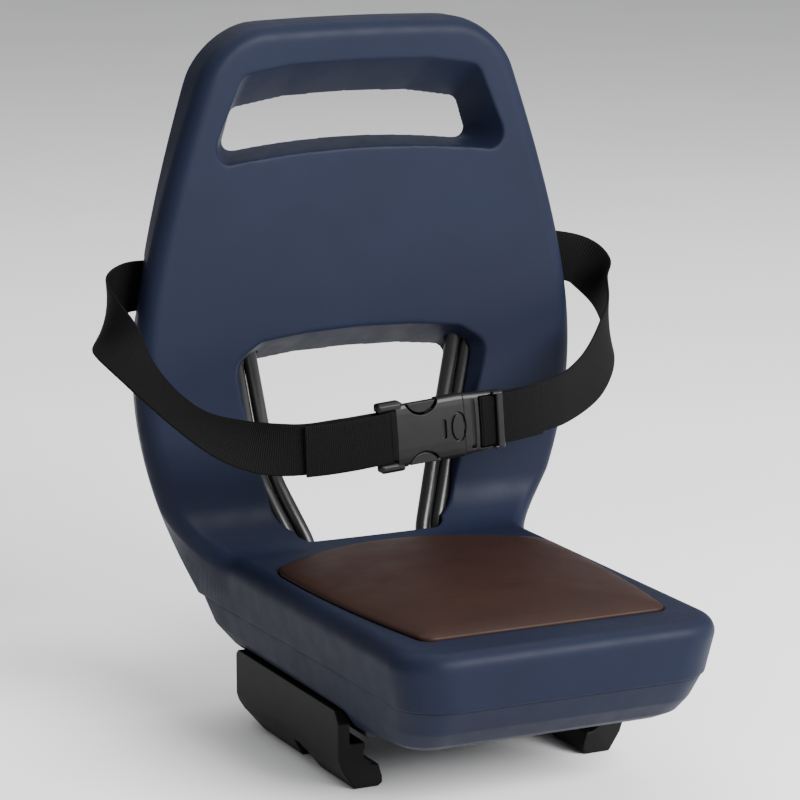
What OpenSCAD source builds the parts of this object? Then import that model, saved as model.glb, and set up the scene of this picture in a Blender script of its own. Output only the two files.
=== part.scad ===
// Rear child seat for a bicycle carrier: a moulded seat shell on a base pan, a seat pad,
// two nested steel tubes that hold the back upright, a lap belt with a side-release buckle,
// and two jaws that slide in and hook under the rails of the carrier.
// Millimetres. +Z is up, the child faces -Y, the jaws' feet stand on Z = 0.

/* [Backrest] */
// Height of the top edge above the jaws' feet
back_top_z = 471; // [440:1:500]
// Full width at the widest height
back_w = 326; // [300:1:340]
// Height of the widest place
widest_z = 238; // [220:1:255]
// Place of the front face, from the middle of the seat's depth
back_front_y = 135; // [127:1:141]
// Radius of the two top corners
top_corner_r = 36; // [28:1:46]
// How much the top edge falls from the middle to the corners
top_arch = 3; // [0:0.5:6]
// How deep the front face is hollowed
back_dish = 3; // [0:0.5:5]

/* [Shell] */
// Thickness of the moulded walls
wall = 3; // [2.5:0.1:3.6]
// Round along the front edges
edge_r = 12; // [8:1:15]
// Radius of the valley between the seat and the back
valley_r = 30; // [22:1:36]
// Rear edge of the shell's side walls
rim_y = 167; // [159:1:173]

/* [Seat] */
// Height of the seat's top face
seat_z = 118; // [112:1:124]
// Height of the joint between the shell and the pan
seam_z = 80; // [77:1:84]
// Front end of the seat
seat_front_y = -169; // [-179:1:-159]
// Full width of the seat
seat_w = 226; // [214:1:236]
// Radius of the seat's front corners
seat_corner_r = 34; // [26:1:42]

/* [Openings] */
// Height of the handle opening's lower edge
grip_low_z = 377; // [370:1:384]
// Height of the handle opening's upper edge
grip_high_z = 443; // [436:1:446]
// Half width of the handle opening at its lower corners
grip_low_x = 108; // [98:1:110]
// Height of the lower window's upper edge
window_top_z = 265; // [255:1:268]
// Half width of the lower window at its widest
window_x = 96; // [86:1:99]
// Half width of the lower window at the seat
window_foot_x = 57; // [50:1:62]
// Place of the seat's rear edge inside the window
seat_rear_y = 120; // [116:1:123]

/* [Pan] */
// Height of the pan's underside
pan_z = 43; // [41:1:46]
// How far the pan's front leans back to its underside
pan_chin = 34; // [24:1:40]

/* [Pad] */
// Thickness of the pad at its edge
pad_edge_h = 6; // [4:0.5:8]
// Extra height of the pad's middle
pad_crown = 4; // [0:0.5:7]
// Half width of the pad at its widest
pad_x = 100; // [90:1:101]
// Depth of the shell's recess for the pad
pad_recess = 2; // [1:0.5:3]
// Clearance round the pad
pad_gap = 0.4; // [0.2:0.1:1]

/* [Tubes] */
// Diameter of each tube
tube_d = 10; // [8:0.5:11]
// Gap between the two tubes
tube_gap = 0.4; // [0.2:0.1:1]
// Wall of the tubes
tube_wall = 1.5; // [1:0.1:2]

/* [Belt] */
// Width of the webbing
belt_w = 34; // [25:1:35]
// Thickness of the webbing
belt_t = 1.8; // [1.4:0.1:2]
// Height at which the belt crosses the back
belt_z = 297; // [292:1:300]

/* [Clamps] */
// Distance between the centres of the carrier's rails
rail_pitch = 156; // [152:1:158]
// Diameter of the rails that the jaws fit
rail_d = 16; // [14:0.5:16]
// Length of each jaw along the rail
jaw_l = 165; // [150:1:170]
// How far each jaw slides inward from where it is shown
jaw_in = 12; // [6:1:12]
// How far each jaw slides outward from where it is shown
jaw_out = 4; // [0:1:4]
// Diameter of the clamp bolts
bolt_d = 6; // [5:0.5:6]

/* [Hidden] */
$fn = 32;
navy = "#262c42";
hide = "#4a2c22";
jet = "#161617";
eps = 0.01;

// Outline of the back: straight flanks joined by a round at the widest height
upper_slope = 0.38;
upper_round = 100;
lower_round = 250;
rim_lean = 6;
rim_lean_z = 430;
seat_draft = 6;
chin_tilt = 10;

function flank(rise, slope, r) = slope * (sqrt(r * r + rise * rise) - r);
function clamp01(t) = max(0, min(1, t));
function back_half(z) = back_w / 2 - (z > widest_z
    ? flank(z - widest_z, upper_slope, upper_round)
    : flank(widest_z - z, 1, lower_round));
// The side walls lean in towards the rear edge, more so on the wide part
function rim_half_at_z(z) = back_half(z) - rim_lean * clamp01((rim_lean_z - z) / 130);
rear_half = rim_half_at_z(seam_z);
front_half = seat_w / 2 - seat_draft;
function rim_half_at_y(y) = front_half
    + (rear_half - front_half) * (y - seat_front_y) / (rim_y - seat_front_y);

// The skin is a loft of U-shaped sections. A section stands square to the front face, and turns
// about the valley's centre from the back to the seat. Each station holds the front face's
// y and z, the tilt of the section, the half widths at the face and at the rim, the depth to
// the rim, the distance to the end of the skin, the corner radius there and the dish there.
valley_y = back_front_y - valley_r;
valley_z = seat_z + valley_r;
heel_tilt = atan2(valley_z - seam_z, rim_y - valley_y);
bevel_turns = [0, 22, 45, 67, 90];

function bevel(d, r) = d >= r ? 0 : r - sqrt(max(0, r * r - (r - d) * (r - d)));
function end_gaps(r, corner) = concat(
    [for (a = bevel_turns) r * (1 - cos(a))],
    [for (k = [1:4]) r + (corner - r) * k / 4]);
function valley_share(t) = (cos(t) * cos(t) + 1 - sin(t)) / 2;
function flip(list) = [for (i = [len(list) - 1:-1:0]) list[i]];

function back_station(z, gap, inset, over) = [
    back_front_y + inset, z, 0,
    back_half(z) - inset, rim_half_at_z(z) - inset,
    rim_y - back_front_y - inset + over,
    gap, top_corner_r - inset, back_dish * clamp01((gap - 10) / 50)];

function valley_station(t, inset, over) = let (
        reach = t < heel_tilt ? (rim_y - valley_y) / cos(t) : (valley_z - seam_z) / sin(t),
        foot_y = valley_y + reach * cos(t),
        foot_z = valley_z - reach * sin(t),
        face = seat_w / 2 + (back_half(valley_z) - seat_w / 2) * valley_share(t),
        rim = t < heel_tilt ? rim_half_at_z(foot_z) : rim_half_at_y(foot_y))
    [valley_y + (valley_r + inset) * cos(t), valley_z - (valley_r + inset) * sin(t), t,
    face - inset, rim - inset, reach - valley_r - inset + over,
    200, top_corner_r, back_dish * cos(t)];

function seat_station(y, gap, inset, over) = let (
        tilt = 90 - chin_tilt * clamp01(1 - gap / seat_corner_r))
    [y, seat_z - inset, tilt, seat_w / 2 - inset, rim_half_at_y(y) - inset,
    (seat_z - inset - seam_z + over) / sin(tilt), gap, seat_corner_r - inset, 0];

function skin_stations(inset, over) = concat(
    [for (g = end_gaps(edge_r - inset, top_corner_r - inset))
        back_station(back_top_z - inset - g, g, inset, over)],
    [for (k = [1:9]) let (z = back_top_z - top_corner_r
            + (valley_z - back_top_z + top_corner_r) * k / 9)
        back_station(z, back_top_z - z, inset, over)],
    [for (t = [15, 30, heel_tilt, 62, 76]) valley_station(t, inset, over)],
    [for (k = [0:4]) let (y = valley_y
            + (seat_front_y + seat_corner_r - valley_y) * k / 5)
        seat_station(y, y - seat_front_y, inset, over)],
    [for (g = flip(end_gaps(edge_r - inset, seat_corner_r - inset)))
        seat_station(seat_front_y + inset + g, g, inset, over)]);

// Distance to the outline from a place x in a section whose end is a gap away
function edge_gap(x, half, gap, corner) = let (
        cx = abs(x) - (half - corner),
        cg = corner - gap)
    cx > 0 && cg > 0 ? corner - sqrt(cx * cx + cg * cg) : min(half - abs(x), gap);

function section(st, r) = let (
        half = st[3], gap = st[6], corner = st[7],
        narrow = gap < corner ? corner - sqrt(max(0, corner * corner
            - (corner - gap) * (corner - gap))) : 0,
        w = half - narrow,
        xs = concat([for (a = bevel_turns) w - r * (1 - cos(a))],
            [for (k = [2:-1:1]) (w - r) * k / 3]),
        all_x = concat([for (x = xs) -x], [0], flip(xs)),
        rim_w = st[4] - narrow,
        droop = st[2] == 0 ? top_arch * clamp01(1 - gap / 90) : 0)
    concat(
        [for (x = all_x) let (
                dish = abs(x) < w - r ? st[8] * (1 - pow(x / (w - r), 2)) : 0,
                d = bevel(edge_gap(x, half, gap, corner), r) + dish)
            [x, st[0] + cos(st[2]) * d, st[1] - sin(st[2]) * d - droop * pow(x / half, 2)]],
        [for (x = flip(all_x))
            [x * rim_w / w, st[0] + cos(st[2]) * st[5],
                st[1] - sin(st[2]) * st[5] - droop * pow(x / half, 2)]]);

// Joins sections with the same number of points, and closes both ends as strips
module loft(rows) {
    n = len(rows[0]);
    m = len(rows);
    sides = [for (i = [0:m - 2], j = [0:n - 1]) let (
            a = i * n + j, b = i * n + (j + 1) % n, c = b + n, d = a + n)
        each [[a, b, d], [b, c, d]]];
    first = [for (j = [0:n / 2 - 2]) each [[j, n - 1 - j, j + 1], [j + 1, n - 1 - j, n - 2 - j]]];
    last = [for (f = first) [f[0] + (m - 1) * n, f[2] + (m - 1) * n, f[1] + (m - 1) * n]];
    polyhedron([for (row = rows) each row], concat(sides, first, last), convexity = 8);
}

module skin(inset, over) {
    loft([for (st = skin_stations(inset, over)) section(st, edge_r - inset)]);
}

// Openings: each tapers from an outline on the front face to a smaller one at the rim
module upright(y) {
    translate([0, y, 0])
        rotate([90, 0, 0])
            linear_extrude(eps, center = true)
                children();
}

module mirrored() {
    children();
    mirror([1, 0, 0]) children();
}

module discs(spots, r) {
    for (s = spots, side = [-1, 1])
        translate([side * s[0], s[1]])
            circle(r, $fn = 20);
}

grip_r = 12;
grip_slope = 17;
grip_draft_x = 18;
grip_draft_low = 7;
grip_draft_high = 28;
module grip_opening(grow) {
    lean = grip_slope * (grip_high_z - grip_low_z) / 66;
    hull() {
        upright(back_front_y - 1)
            hull() {
                discs([[grip_low_x - grip_r, grip_low_z + grip_r],
                    [grip_low_x - grip_r - lean, grip_high_z - grip_r - 3],
                    [50, grip_high_z - grip_r + 1.5],
                    [0, grip_high_z - grip_r + 2.5]], grip_r + grow);
            }
        upright(rim_y + eps)
            hull() {
                discs([[grip_low_x - grip_draft_x - 6, grip_low_z + grip_draft_low + 6],
                    [grip_low_x - grip_draft_x - 11, grip_high_z - grip_draft_high - 9],
                    [45, grip_high_z - grip_draft_high - 3.5],
                    [0, grip_high_z - grip_draft_high - 2]], 6 + grow * flange_flare);
            }
    }
}

// The flanges round the openings thicken towards their rear edge
flange_flare = 1.7;
window_r = 14;
window_draft = 22;
module window_face(grow) {
    hull() {
        discs([[0, window_top_z - window_r], [40, window_top_z - window_r - 1.5],
            [70, window_top_z - window_r - 5],
            [window_x - window_r, window_top_z - window_r - 13]], window_r + grow);
        discs([[window_foot_x - 15, seat_z + 34]], 30 + grow);
    }
}

module window_opening(grow) {
    hull() {
        upright(back_front_y - 1)
            window_face(grow);
        upright(rim_y + eps)
            hull() {
                discs([[0, window_top_z - window_draft - 8],
                    [40, window_top_z - window_draft - 9],
                    [window_x - 21 - 8, window_top_z - window_draft - 12]],
                    8 + grow * flange_flare);
                discs([[window_foot_x - 22, seat_z + 30]], 26 + grow * flange_flare);
            }
    }
}

// Cuts the valley below the window, where the skin comes forward of the back's face
module window_foot() {
    translate([0, back_front_y, 0])
        rotate([90, 0, 0])
            linear_extrude(back_front_y - seat_rear_y + 4)
                window_face(0);
}

heel_x = window_foot_x - 1.5;
heel_low_z = 92;
module heel_opening(grow) {
    hull()
        for (x = [-heel_x + 10, heel_x - 10])
            translate([x, seat_rear_y + 10, heel_low_z + grow / 2])
                cylinder(r = 10 + grow, h = seat_z - heel_low_z + 8);
    translate([-heel_x - grow, seat_rear_y + 10, heel_low_z + grow / 2])
        cube([2 * (heel_x + grow), rim_y - seat_rear_y, seat_z - heel_low_z + 8]);
}

// Tubes: a U behind the back, legs that lean in, and feet that run forward over the pan
tube_y = 154;
tube_pitch = tube_d + tube_gap;
tube_feet_z = 70;
tube_feet_y = 1;
leg_top = [101.5, tube_y, 350];
leg_knee = [68, tube_y, 165];
leg_bend = [49, tube_y - 20, 116];
leg_heel = [44, tube_y - 39, tube_feet_z];
leg_slope = atan2(leg_top[0] - leg_knee[0], leg_top[2] - leg_knee[2]);
// Where the path leans sideways, the two tubes stand further apart in X to keep their gap
top_spread = (1 + sin(leg_slope)) / cos(leg_slope);
knee_spread = 1.063;
function add(p, v) = [p[0] + v[0], p[1] + v[1], p[2] + v[2]];
function tube_corners(side) = [
    [0, tube_y, leg_top[2] + side],
    add(leg_top, [side * top_spread, 0, side]),
    add(leg_knee, [side * knee_spread, 0, 0]),
    add(leg_bend, [side * knee_spread, 0, 0]),
    add(leg_heel, [side, 0, 0]),
    [leg_heel[0] + side, tube_feet_y, tube_feet_z]];
tube_bends = [28, 90, 60, 24];

function unit(v) = v / norm(v);
// A rounded corner at b between a and c, with radius r, as points
function bend_points(a, b, c, r, steps) = let (
        u = unit(b - a), v = unit(c - b),
        turn = acos(max(-1, min(1, u * v))),
        start = b - u * r * tan(turn / 2),
        side = unit(v - u * (u * v)))
    [for (k = [0:steps]) let (f = turn * k / steps)
        start + r * (u * sin(f) + side * (1 - cos(f)))];
function half_route(side) = let (p = tube_corners(side)) concat(
    [for (k = [1:4]) each bend_points(p[k - 1], p[k], p[k + 1],
        tube_bends[k - 1] + (k == 1 ? side : 0), k == 1 ? 5 : 3)],
    [p[5]]);
function route(side) = let (h = half_route(side)) concat(
    [for (p = flip(h)) [-p[0], p[1], p[2]]], h);

// Frames carried along a route without twist
function tangents(p) = [for (i = [0:len(p) - 1])
    unit(p[min(i + 1, len(p) - 1)] - p[max(i - 1, 0)])];
function carried(t, i, seed) = i == 0 ? [unit(seed - t[0] * (t[0] * seed))]
    : let (before = carried(t, i - 1, seed), last = before[i - 1])
        concat(before, [unit(last - t[i] * (t[i] * last))]);

function ring(c, u, v, r, sides) = [for (k = [0:sides - 1])
    c + r * (u * cos(360 * k / sides) + v * sin(360 * k / sides))];

module hollow_tube(path, r, bore_r, sides) {
    t = tangents(path);
    u = carried(t, len(path) - 1, [0, 1, 0.2]);
    rows = [for (i = [0:len(path) - 1]) let (v = cross(t[i], u[i]))
        concat(ring(path[i], u[i], v, r, sides), ring(path[i], u[i], v, bore_r, sides))];
    n = 2 * sides;
    m = len(rows);
    walls = [for (i = [0:m - 2], s = [0, 1], k = [0:sides - 1]) let (
            a = i * n + s * sides + k, b = i * n + s * sides + (k + 1) % sides,
            c = b + n, d = a + n)
        each s == 0 ? [[a, d, b], [b, d, c]] : [[a, b, d], [b, c, d]]];
    ends = [for (e = [0, m - 1], k = [0:sides - 1]) let (
            a = e * n + k, b = e * n + (k + 1) % sides, c = b + sides, d = a + sides)
        each e == 0 ? [[a, b, d], [b, c, d]] : [[a, d, b], [b, d, c]]];
    polyhedron([for (row = rows) each row], concat(walls, ends), convexity = 8);
}

// The room that one tube needs, as a solid
module tube_room(path, r, sides) {
    t = tangents(path);
    u = carried(t, len(path) - 1, [0, 1, 0.2]);
    rows = [for (i = [0:len(path) - 1]) ring(path[i], u[i], cross(t[i], u[i]), r, sides)];
    m = len(rows);
    walls = [for (i = [0:m - 2], k = [0:sides - 1]) let (
            a = i * sides + k, b = i * sides + (k + 1) % sides, c = b + sides, d = a + sides)
        each [[a, d, b], [b, d, c]]];
    polyhedron([for (row = rows) each row],
        concat(walls, [[for (k = [0:sides - 1]) k]],
            [[for (k = [sides - 1:-1:0]) (m - 1) * sides + k]]), convexity = 8);
}

// The upper saddles sit on the legs just below the bends
upper_saddle_z = leg_top[2] - 44;
upper_saddle_x = leg_knee[0] + (upper_saddle_z - leg_knee[2]) * tan(leg_slope);
lower_saddle_y = [tube_feet_y + 16, tube_feet_y + 58];
saddle_l = 15;
saddle_t = 2.5;
screw_d = 4;
screw_head_r = 3.6;
screw_head_t = 2.2;
saddle_gap = 0.3;
screw_pitch = tube_pitch + tube_d + 2 * (saddle_t + saddle_gap + screw_head_r + saddle_gap);
cradle_w = screw_pitch + 2 * screw_head_r + 1;

// Rough section of the two tubes side by side
module tube_pair(grow) {
    for (s = [-1, 1])
        translate([s * tube_pitch / 2, 0])
            circle(tube_d / 2 + grow, $fn = 24);
    square([tube_pitch, tube_d + 2 * grow], center = true);
}

// A strap over both tubes: it lies in XY with the tubes along Z and its ears on Y = 0
module saddle() {
    linear_extrude(saddle_l, center = true)
        difference() {
            union() {
                tube_pair(saddle_t + saddle_gap);
                translate([-cradle_w / 2, 0])
                    square([cradle_w, saddle_t]);
            }
            tube_pair(saddle_gap);
            translate([-50, -50])
                square([100, 50 + eps]);
        }
}

module saddle_holes(d) {
    for (s = [-1, 1])
        translate([s * screw_pitch / 2, 0, 0])
            rotate([-90, 0, 0])
                cylinder(d = d, h = 30, center = true, $fn = 16);
}

module place_upper() {
    for (s = [-1, 1])
        translate([s * upper_saddle_x, tube_y, upper_saddle_z])
            rotate([0, s * leg_slope, 0])
                children();
}

module place_lower() {
    for (s = [-1, 1], y = lower_saddle_y)
        translate([s * leg_heel[0], y, tube_feet_z])
            rotate([90, 0, 0])
                children();
}

// Pad outline: bowed sides, a straight front edge and an arched rear edge
pad_front_y = seat_front_y + 38;
pad_rear_y = seat_rear_y - 16;
pad_corner_r = 10;
pad_bow = 0.00055;
pad_arch = 42;
function pad_half(y) = pad_x - pad_bow * pow(y - 34, 2);
pad_side = concat(
    [for (a = [-90:22.5:0]) [
        pad_half(pad_front_y + pad_corner_r) - pad_corner_r + pad_corner_r * cos(a),
        pad_front_y + pad_corner_r + pad_corner_r * sin(a)]],
    [for (y = [-98:30:52]) [pad_half(y), y]],
    [for (k = [0.96, 0.9, 0.75, 0.55, 0.35, 0.15]) [pad_x * k, pad_rear_y - pad_arch * k * k]]);
pad_outline = concat(pad_side, [for (p = flip(pad_side)) [-p[0], p[1]]]);
pad_low_z = seat_z - pad_recess + 0.3;
pad_rings = concat(
    [[1, 0], [1, pad_edge_h - 2], [0.988, pad_edge_h - 0.6], [0.965, pad_edge_h]],
    [for (s = [0.85, 0.65, 0.4, 0.15]) [s, pad_edge_h + pad_crown * (1 - s * s)]]);

module pad_solid() {
    n = len(pad_outline);
    m = len(pad_rings);
    mid_y = -18;
    sides = [for (i = [0:m - 2], j = [0:n - 1]) let (
            a = i * n + j, b = i * n + (j + 1) % n, c = b + n, d = a + n)
        each [[a, d, b], [b, d, c]]];
    polyhedron(
        [for (r = pad_rings, p = pad_outline)
            [p[0] * r[0], mid_y + (p[1] - mid_y) * r[0], pad_low_z + r[1]]],
        concat(sides, [[for (j = [0:n - 1]) j]], [[for (j = [n - 1:-1:0]) (m - 1) * n + j]]));
}

// Jaws: a profile along the rail, cut to two claws by a side view
rail_x = rail_pitch / 2;
rail_r = rail_d / 2;
pad_h = 12;
pocket_clear = 0.1;
rail_z = pan_z - pad_h - rail_r - pocket_clear;
jaw_front_y = -46;
jaw_rear_y = jaw_front_y + jaw_l;
jaw_face_x = rail_x + 26;
jaw_thin = 8;
arm_t = 6;
arm_w = 24;
arm_low_z = pan_z + wall + 0.2;
arm_high_z = arm_low_z + arm_t;
arm_tip_x = 38;
arm_ys = [jaw_front_y + 26, jaw_rear_y - 28];
bolt_x = 52;
slot_clear = 0.4;
recess_x = jaw_face_x - jaw_thin - jaw_in - 0.5;
recess_top_z = arm_high_z + 0.5;
claw_notch_y = 21;
claw_notch_w = 22;
toe_x = rail_x - 5;
shoulder_z = pan_z - pad_h - 0.4;

// The two edges of the pocket, as angles round the rail
function pocket_edge(a) = [rail_x + (rail_r + pocket_clear) * cos(a),
    rail_z + (rail_r + pocket_clear) * sin(a)];
pocket_low = pocket_edge(-105);
pocket_high = pocket_edge(30);
jaw_profile = [
    [jaw_face_x, arm_high_z], [jaw_face_x, 21], [jaw_face_x - 3, 12], [jaw_face_x - 11, 0],
    [toe_x + 3, 0], [toe_x, 2], [toe_x, 6], pocket_low, pocket_high,
    [pocket_high[0], shoulder_z], [jaw_face_x - jaw_thin, shoulder_z],
    [jaw_face_x - jaw_thin, arm_high_z]];
jaw_side = [
    [jaw_front_y, 0], [claw_notch_y - claw_notch_w / 2 - 4, 0],
    [claw_notch_y - claw_notch_w / 2 + 2, 10], [claw_notch_y, 13.5],
    [claw_notch_y + claw_notch_w / 2 - 4, 13.5], [claw_notch_y + claw_notch_w / 2 + 2, 0],
    [jaw_rear_y - 22, 0], [jaw_rear_y, 16], [jaw_rear_y, arm_high_z - 4],
    [jaw_rear_y - 4, arm_high_z], [jaw_front_y + 6, arm_high_z], [jaw_front_y, arm_high_z - 8]];

module jaw() {
    difference() {
        intersection() {
            translate([0, jaw_rear_y, 0])
                rotate([90, 0, 0])
                    linear_extrude(jaw_l)
                        polygon(jaw_profile);
            rotate([90, 0, 90])
                linear_extrude(jaw_face_x + 1)
                    polygon(jaw_side);
        }
        translate([rail_x, jaw_rear_y + 1, rail_z])
            rotate([90, 0, 0])
                cylinder(r = rail_r + pocket_clear, h = jaw_l + 2);
    }
    for (y = arm_ys)
        difference() {
            translate([arm_tip_x, y - arm_w / 2, arm_low_z])
                cube([jaw_face_x - jaw_thin / 2 - arm_tip_x, arm_w, arm_t]);
            for (x = [bolt_x - jaw_out, bolt_x + jaw_in])
                translate([x, y, arm_low_z - 1])
                    cylinder(d = bolt_d + slot_clear, h = arm_t + 2);
            translate([bolt_x - jaw_out, y - (bolt_d + slot_clear) / 2, arm_low_z - 1])
                cube([jaw_out + jaw_in, bolt_d + slot_clear, arm_t + 2]);
        }
}

module at_bolts() {
    for (s = [-1, 1], y = arm_ys)
        translate([s * bolt_x, y, 0])
            children();
}

// Ribs: thin walls with round ends, standing up from a floor or out from the back
module floor_rib(a, b, low_z, h) {
    hull()
        for (p = [a, b])
            translate([p[0], p[1], low_z])
                cylinder(r = 1, h = h, $fn = 8);
}

module back_rib(a, b, depth) {
    hull()
        for (p = [a, b])
            translate([p[0], back_front_y + back_dish + 1, p[1]])
                rotate([-90, 0, 0])
                    cylinder(r = 1, h = depth, $fn = 8);
}

// Pan: level rings joined by a hull, with the chin leaning back to the underside
lip = 1;
skin_foot_y = seat_front_y + (seat_z - seam_z) * tan(chin_tilt);
module pan_ring(z, half_front, half_rear, front_y, rear_y, r_front, r_rear) {
    for (s = [-1, 1]) {
        translate([s * (half_front - r_front), front_y + r_front, z])
            cylinder(r = r_front, h = eps, $fn = 24);
        translate([s * (half_rear - r_rear), rear_y - r_rear, z])
            cylinder(r = r_rear, h = eps, $fn = 16);
    }
}

module pan_form(inset, rise) {
    front = skin_foot_y + lip + inset;
    rear = rim_y - lip - inset;
    hull() {
        pan_ring(seam_z - eps + rise, front_half - lip - inset, rear_half - lip - inset,
            front, rear, 28 - inset, 7 - inset);
        pan_ring(pan_z + 20, front_half - 4 - inset, rear_half - 5 - inset,
            front + pan_chin * 0.36, rear - 8, 26 - inset, 12 - inset);
        pan_ring(pan_z + 9, front_half - 7 - inset, rear_half - 12 - inset,
            front + pan_chin * 0.7, rear - 22, 24 - inset, 16 - inset);
        pan_ring(pan_z + 4 + inset, front_half - 16 - inset, 0.5 * rear_half,
            front + pan_chin, 7, 18 - inset, 10);
        pan_ring(pan_z + inset, front_half - 13 - inset, rear_half - 24 - inset,
            -63, rear - 50, 10, 16 - inset);
    }
}

screw_spots = [[-70, -113], [70, -113], [-17, -43], [17, -43], [-17, 57], [17, 57]];
boss_r = 5;
boss_join_z = pan_z + 19;

module arm_windows() {
    for (s = [-1, 1], y = arm_ys)
        translate([s * recess_x, y, (arm_low_z + arm_high_z) / 2])
            cube([3 * wall, arm_w + 0.8, arm_t + 0.8], center = true);
}

module jaw_recess(grow) {
    for (s = [-1, 1])
        translate([s > 0 ? recess_x - grow : -recess_x - 40, jaw_front_y - 0.5 - grow, 0])
            cube([40 + grow, jaw_l + 1 + 2 * grow, recess_top_z + grow]);
}

// Belt route, from the socket's bar round the back to the plug's bar. A key holds the centre
// and the width direction, which follows the tilted buckle near its bars.
belt_back_y = rim_y - 1.7;
belt_notch = 3;
buckle_at = [2, 27, 212];
buckle_tilt = 4;
bar_x = 43;
loop_r = 3.2;
across = [-sin(buckle_tilt), 0, cos(buckle_tilt)];
function flat_key(x, y, z) = concat([x, y, z], across);
belt_left = [
    flat_key(-62, 28.5, 208), [-98, 33, 206, 0, 0.05, 1], [-128, 46, 210, 0.2, 0.55, 0.8],
    [-154, 67, 223, 0.4, 0.8, 0.4], [-174, 95, 245, 0.5, 0.8, 0.4],
    [-184.5, 124, 269, 0.4, 0.5, 0.7], [-179, 152, 288, 0.15, 0.1, 1],
    [-162, 164.5, 296, 0, 0, 1], [-140, belt_back_y, belt_z, 0, 0, 1]];
belt_right = [
    [140, belt_back_y, belt_z, 0, 0, 1], [162, 164.5, 296, 0, 0, 1],
    [183, 157, 289, 0.05, 0.2, 1], [187, 140, 271, 0.08, 0.35, 0.9],
    [174, 106, 248, 0.2, 0.5, 0.8], [143, 70, 230, 0.1, 0.4, 0.9],
    [105, 43, 220, 0, 0.1, 1], flat_key(70, 30, 217)];
function head(p) = [p[0], p[1], p[2]];
function blend_at(p0, p1, p2, p3, t) = 0.5 * (2 * p1 + (p2 - p0) * t
    + (2 * p0 - 5 * p1 + 4 * p2 - p3) * t * t + (3 * p1 - p0 - 3 * p2 + p3) * t * t * t);
function smooth_route(keys, steps) = let (
        m = len(keys),
        far = concat([2 * keys[0] - keys[1]], keys, [2 * keys[m - 1] - keys[m - 2]]))
    concat([for (i = [1:m - 1], k = [0:steps - 1])
        blend_at(far[i - 1], far[i], far[i + 1], far[i + 2], k / steps)], [keys[m - 1]]);
// The webbing's loop round a bar, and its tail in front of the run
function bar_spot(s) = [buckle_at[0] + s * bar_x * cos(buckle_tilt), buckle_at[1],
    buckle_at[2] + s * bar_x * sin(buckle_tilt)];
function bar_loop(s, turns) = [for (a = turns) let (b = bar_spot(s))
    flat_key(b[0] - s * loop_r * cos(a) * cos(buckle_tilt), b[1] + loop_r * sin(a),
        b[2] - s * loop_r * cos(a) * sin(buckle_tilt))];
tail_left = [flat_key(-92, 28.4, 205), flat_key(-76, 26.5, 205.6), flat_key(-58, 24.8, 207)];
tail_right = [flat_key(60, 24.8, 216), flat_key(72, 26.6, 217), flat_key(80, 28.6, 217.4)];
belt_keys = concat(
    tail_left, bar_loop(-1, [-90, -45, 0, 45, 90]),
    smooth_route(belt_left, 3), smooth_route(belt_right, 3),
    bar_loop(1, [90, 45, 0, -45, -90]), tail_right);

module ribbon(keys, w, t) {
    c = [for (k = keys) head(k)];
    dir = tangents(c);
    rows = [for (i = [0:len(c) - 1]) let (
            raw = [keys[i][3], keys[i][4], keys[i][5]],
            u = unit(raw - dir[i] * (raw * dir[i])) * w / 2,
            v = unit(cross(dir[i], u)) * t / 2)
        [c[i] - u - v, c[i] + u - v, c[i] + u + v, c[i] - u + v]];
    m = len(rows);
    sides = [for (i = [0:m - 2], j = [0:3]) let (
            a = i * 4 + j, b = i * 4 + (j + 1) % 4, p = b + 4, q = a + 4)
        each [[a, q, b], [b, q, p]]];
    last = 4 * (m - 1);
    polyhedron([for (row = rows) each row],
        concat(sides, [[0, 1, 2], [0, 2, 3],
            [last, last + 2, last + 1], [last, last + 3, last + 2]]), convexity = 8);
}

// Buckle: flat shapes along the strap, X along it and Y across it, thick towards the child
buckle_t = 12;
buckle_h = 40;
mouth_x = 17;
ear_h = 44;
cavity_h = 31;
cavity_t = 7;
prong_h = 5;
fit = 0.3;

module place_buckle() {
    translate(buckle_at)
        rotate([0, -buckle_tilt, 0])
            rotate([90, 0, 0])
                children();
}

module flat(t) {
    linear_extrude(t, center = true)
        children();
}

// Bar that the webbing loops round, and the room for the loop
bar_d = 3.6;
module loop_bar(s) {
    translate([s * bar_x, 0, 0])
        rotate([90, 0, 0])
            cylinder(d = bar_d, h = buckle_h - 3, center = true);
}

module loop_room(s) {
    translate([s * (bar_x - 2), 0, 0])
        cube([13, belt_w + 2, buckle_t + 2], center = true);
}

module socket_outline() {
    difference() {
        union() {
            translate([-34, -buckle_h / 2])
                square([34 + mouth_x, buckle_h]);
            for (s = [-1, 1])
                translate([-bar_x - 2.5, s > 0 ? ear_h / 2 - 7 : -ear_h / 2])
                    square([14, 7]);
        }
        for (s = [-1, 1]) {
            translate([-14, s * (buckle_h / 2 + 7)])
                circle(13, $fn = 48);
        }
    }
}

// Parts of the shell that stand behind its skin
window_deep_z = window_top_z - 35;
window_flange_z = seat_z + 44;
window_flange_y = tube_y - tube_d / 2 - 1;
module window_flange() {
    intersection() {
        window_opening(wall);
        union() {
            translate([-200, 0, window_deep_z])
                cube([400, rim_y, 100]);
            translate([-200, 0, window_flange_z])
                cube([400, window_flange_y, 100]);
        }
    }
}

module heel_flange() {
    intersection() {
        heel_opening(wall);
        translate([-200, 0, 0])
            cube([400, seat_rear_y + 2, 400]);
    }
}

// Both tubes and the narrow gap between them, cut out of the flanges they run past
module leg_room() {
    for (side = [-tube_pitch / 2, 0, tube_pitch / 2])
        tube_room(route(side), tube_d / 2 + 0.8, 10);
}

module belt_notches() {
    for (s = [-1, 1])
        translate([s > 0 ? 120 : -220, rim_y - belt_notch, belt_z - belt_w / 2 - 2])
            cube([100, 20, belt_w + 4]);
}

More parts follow.
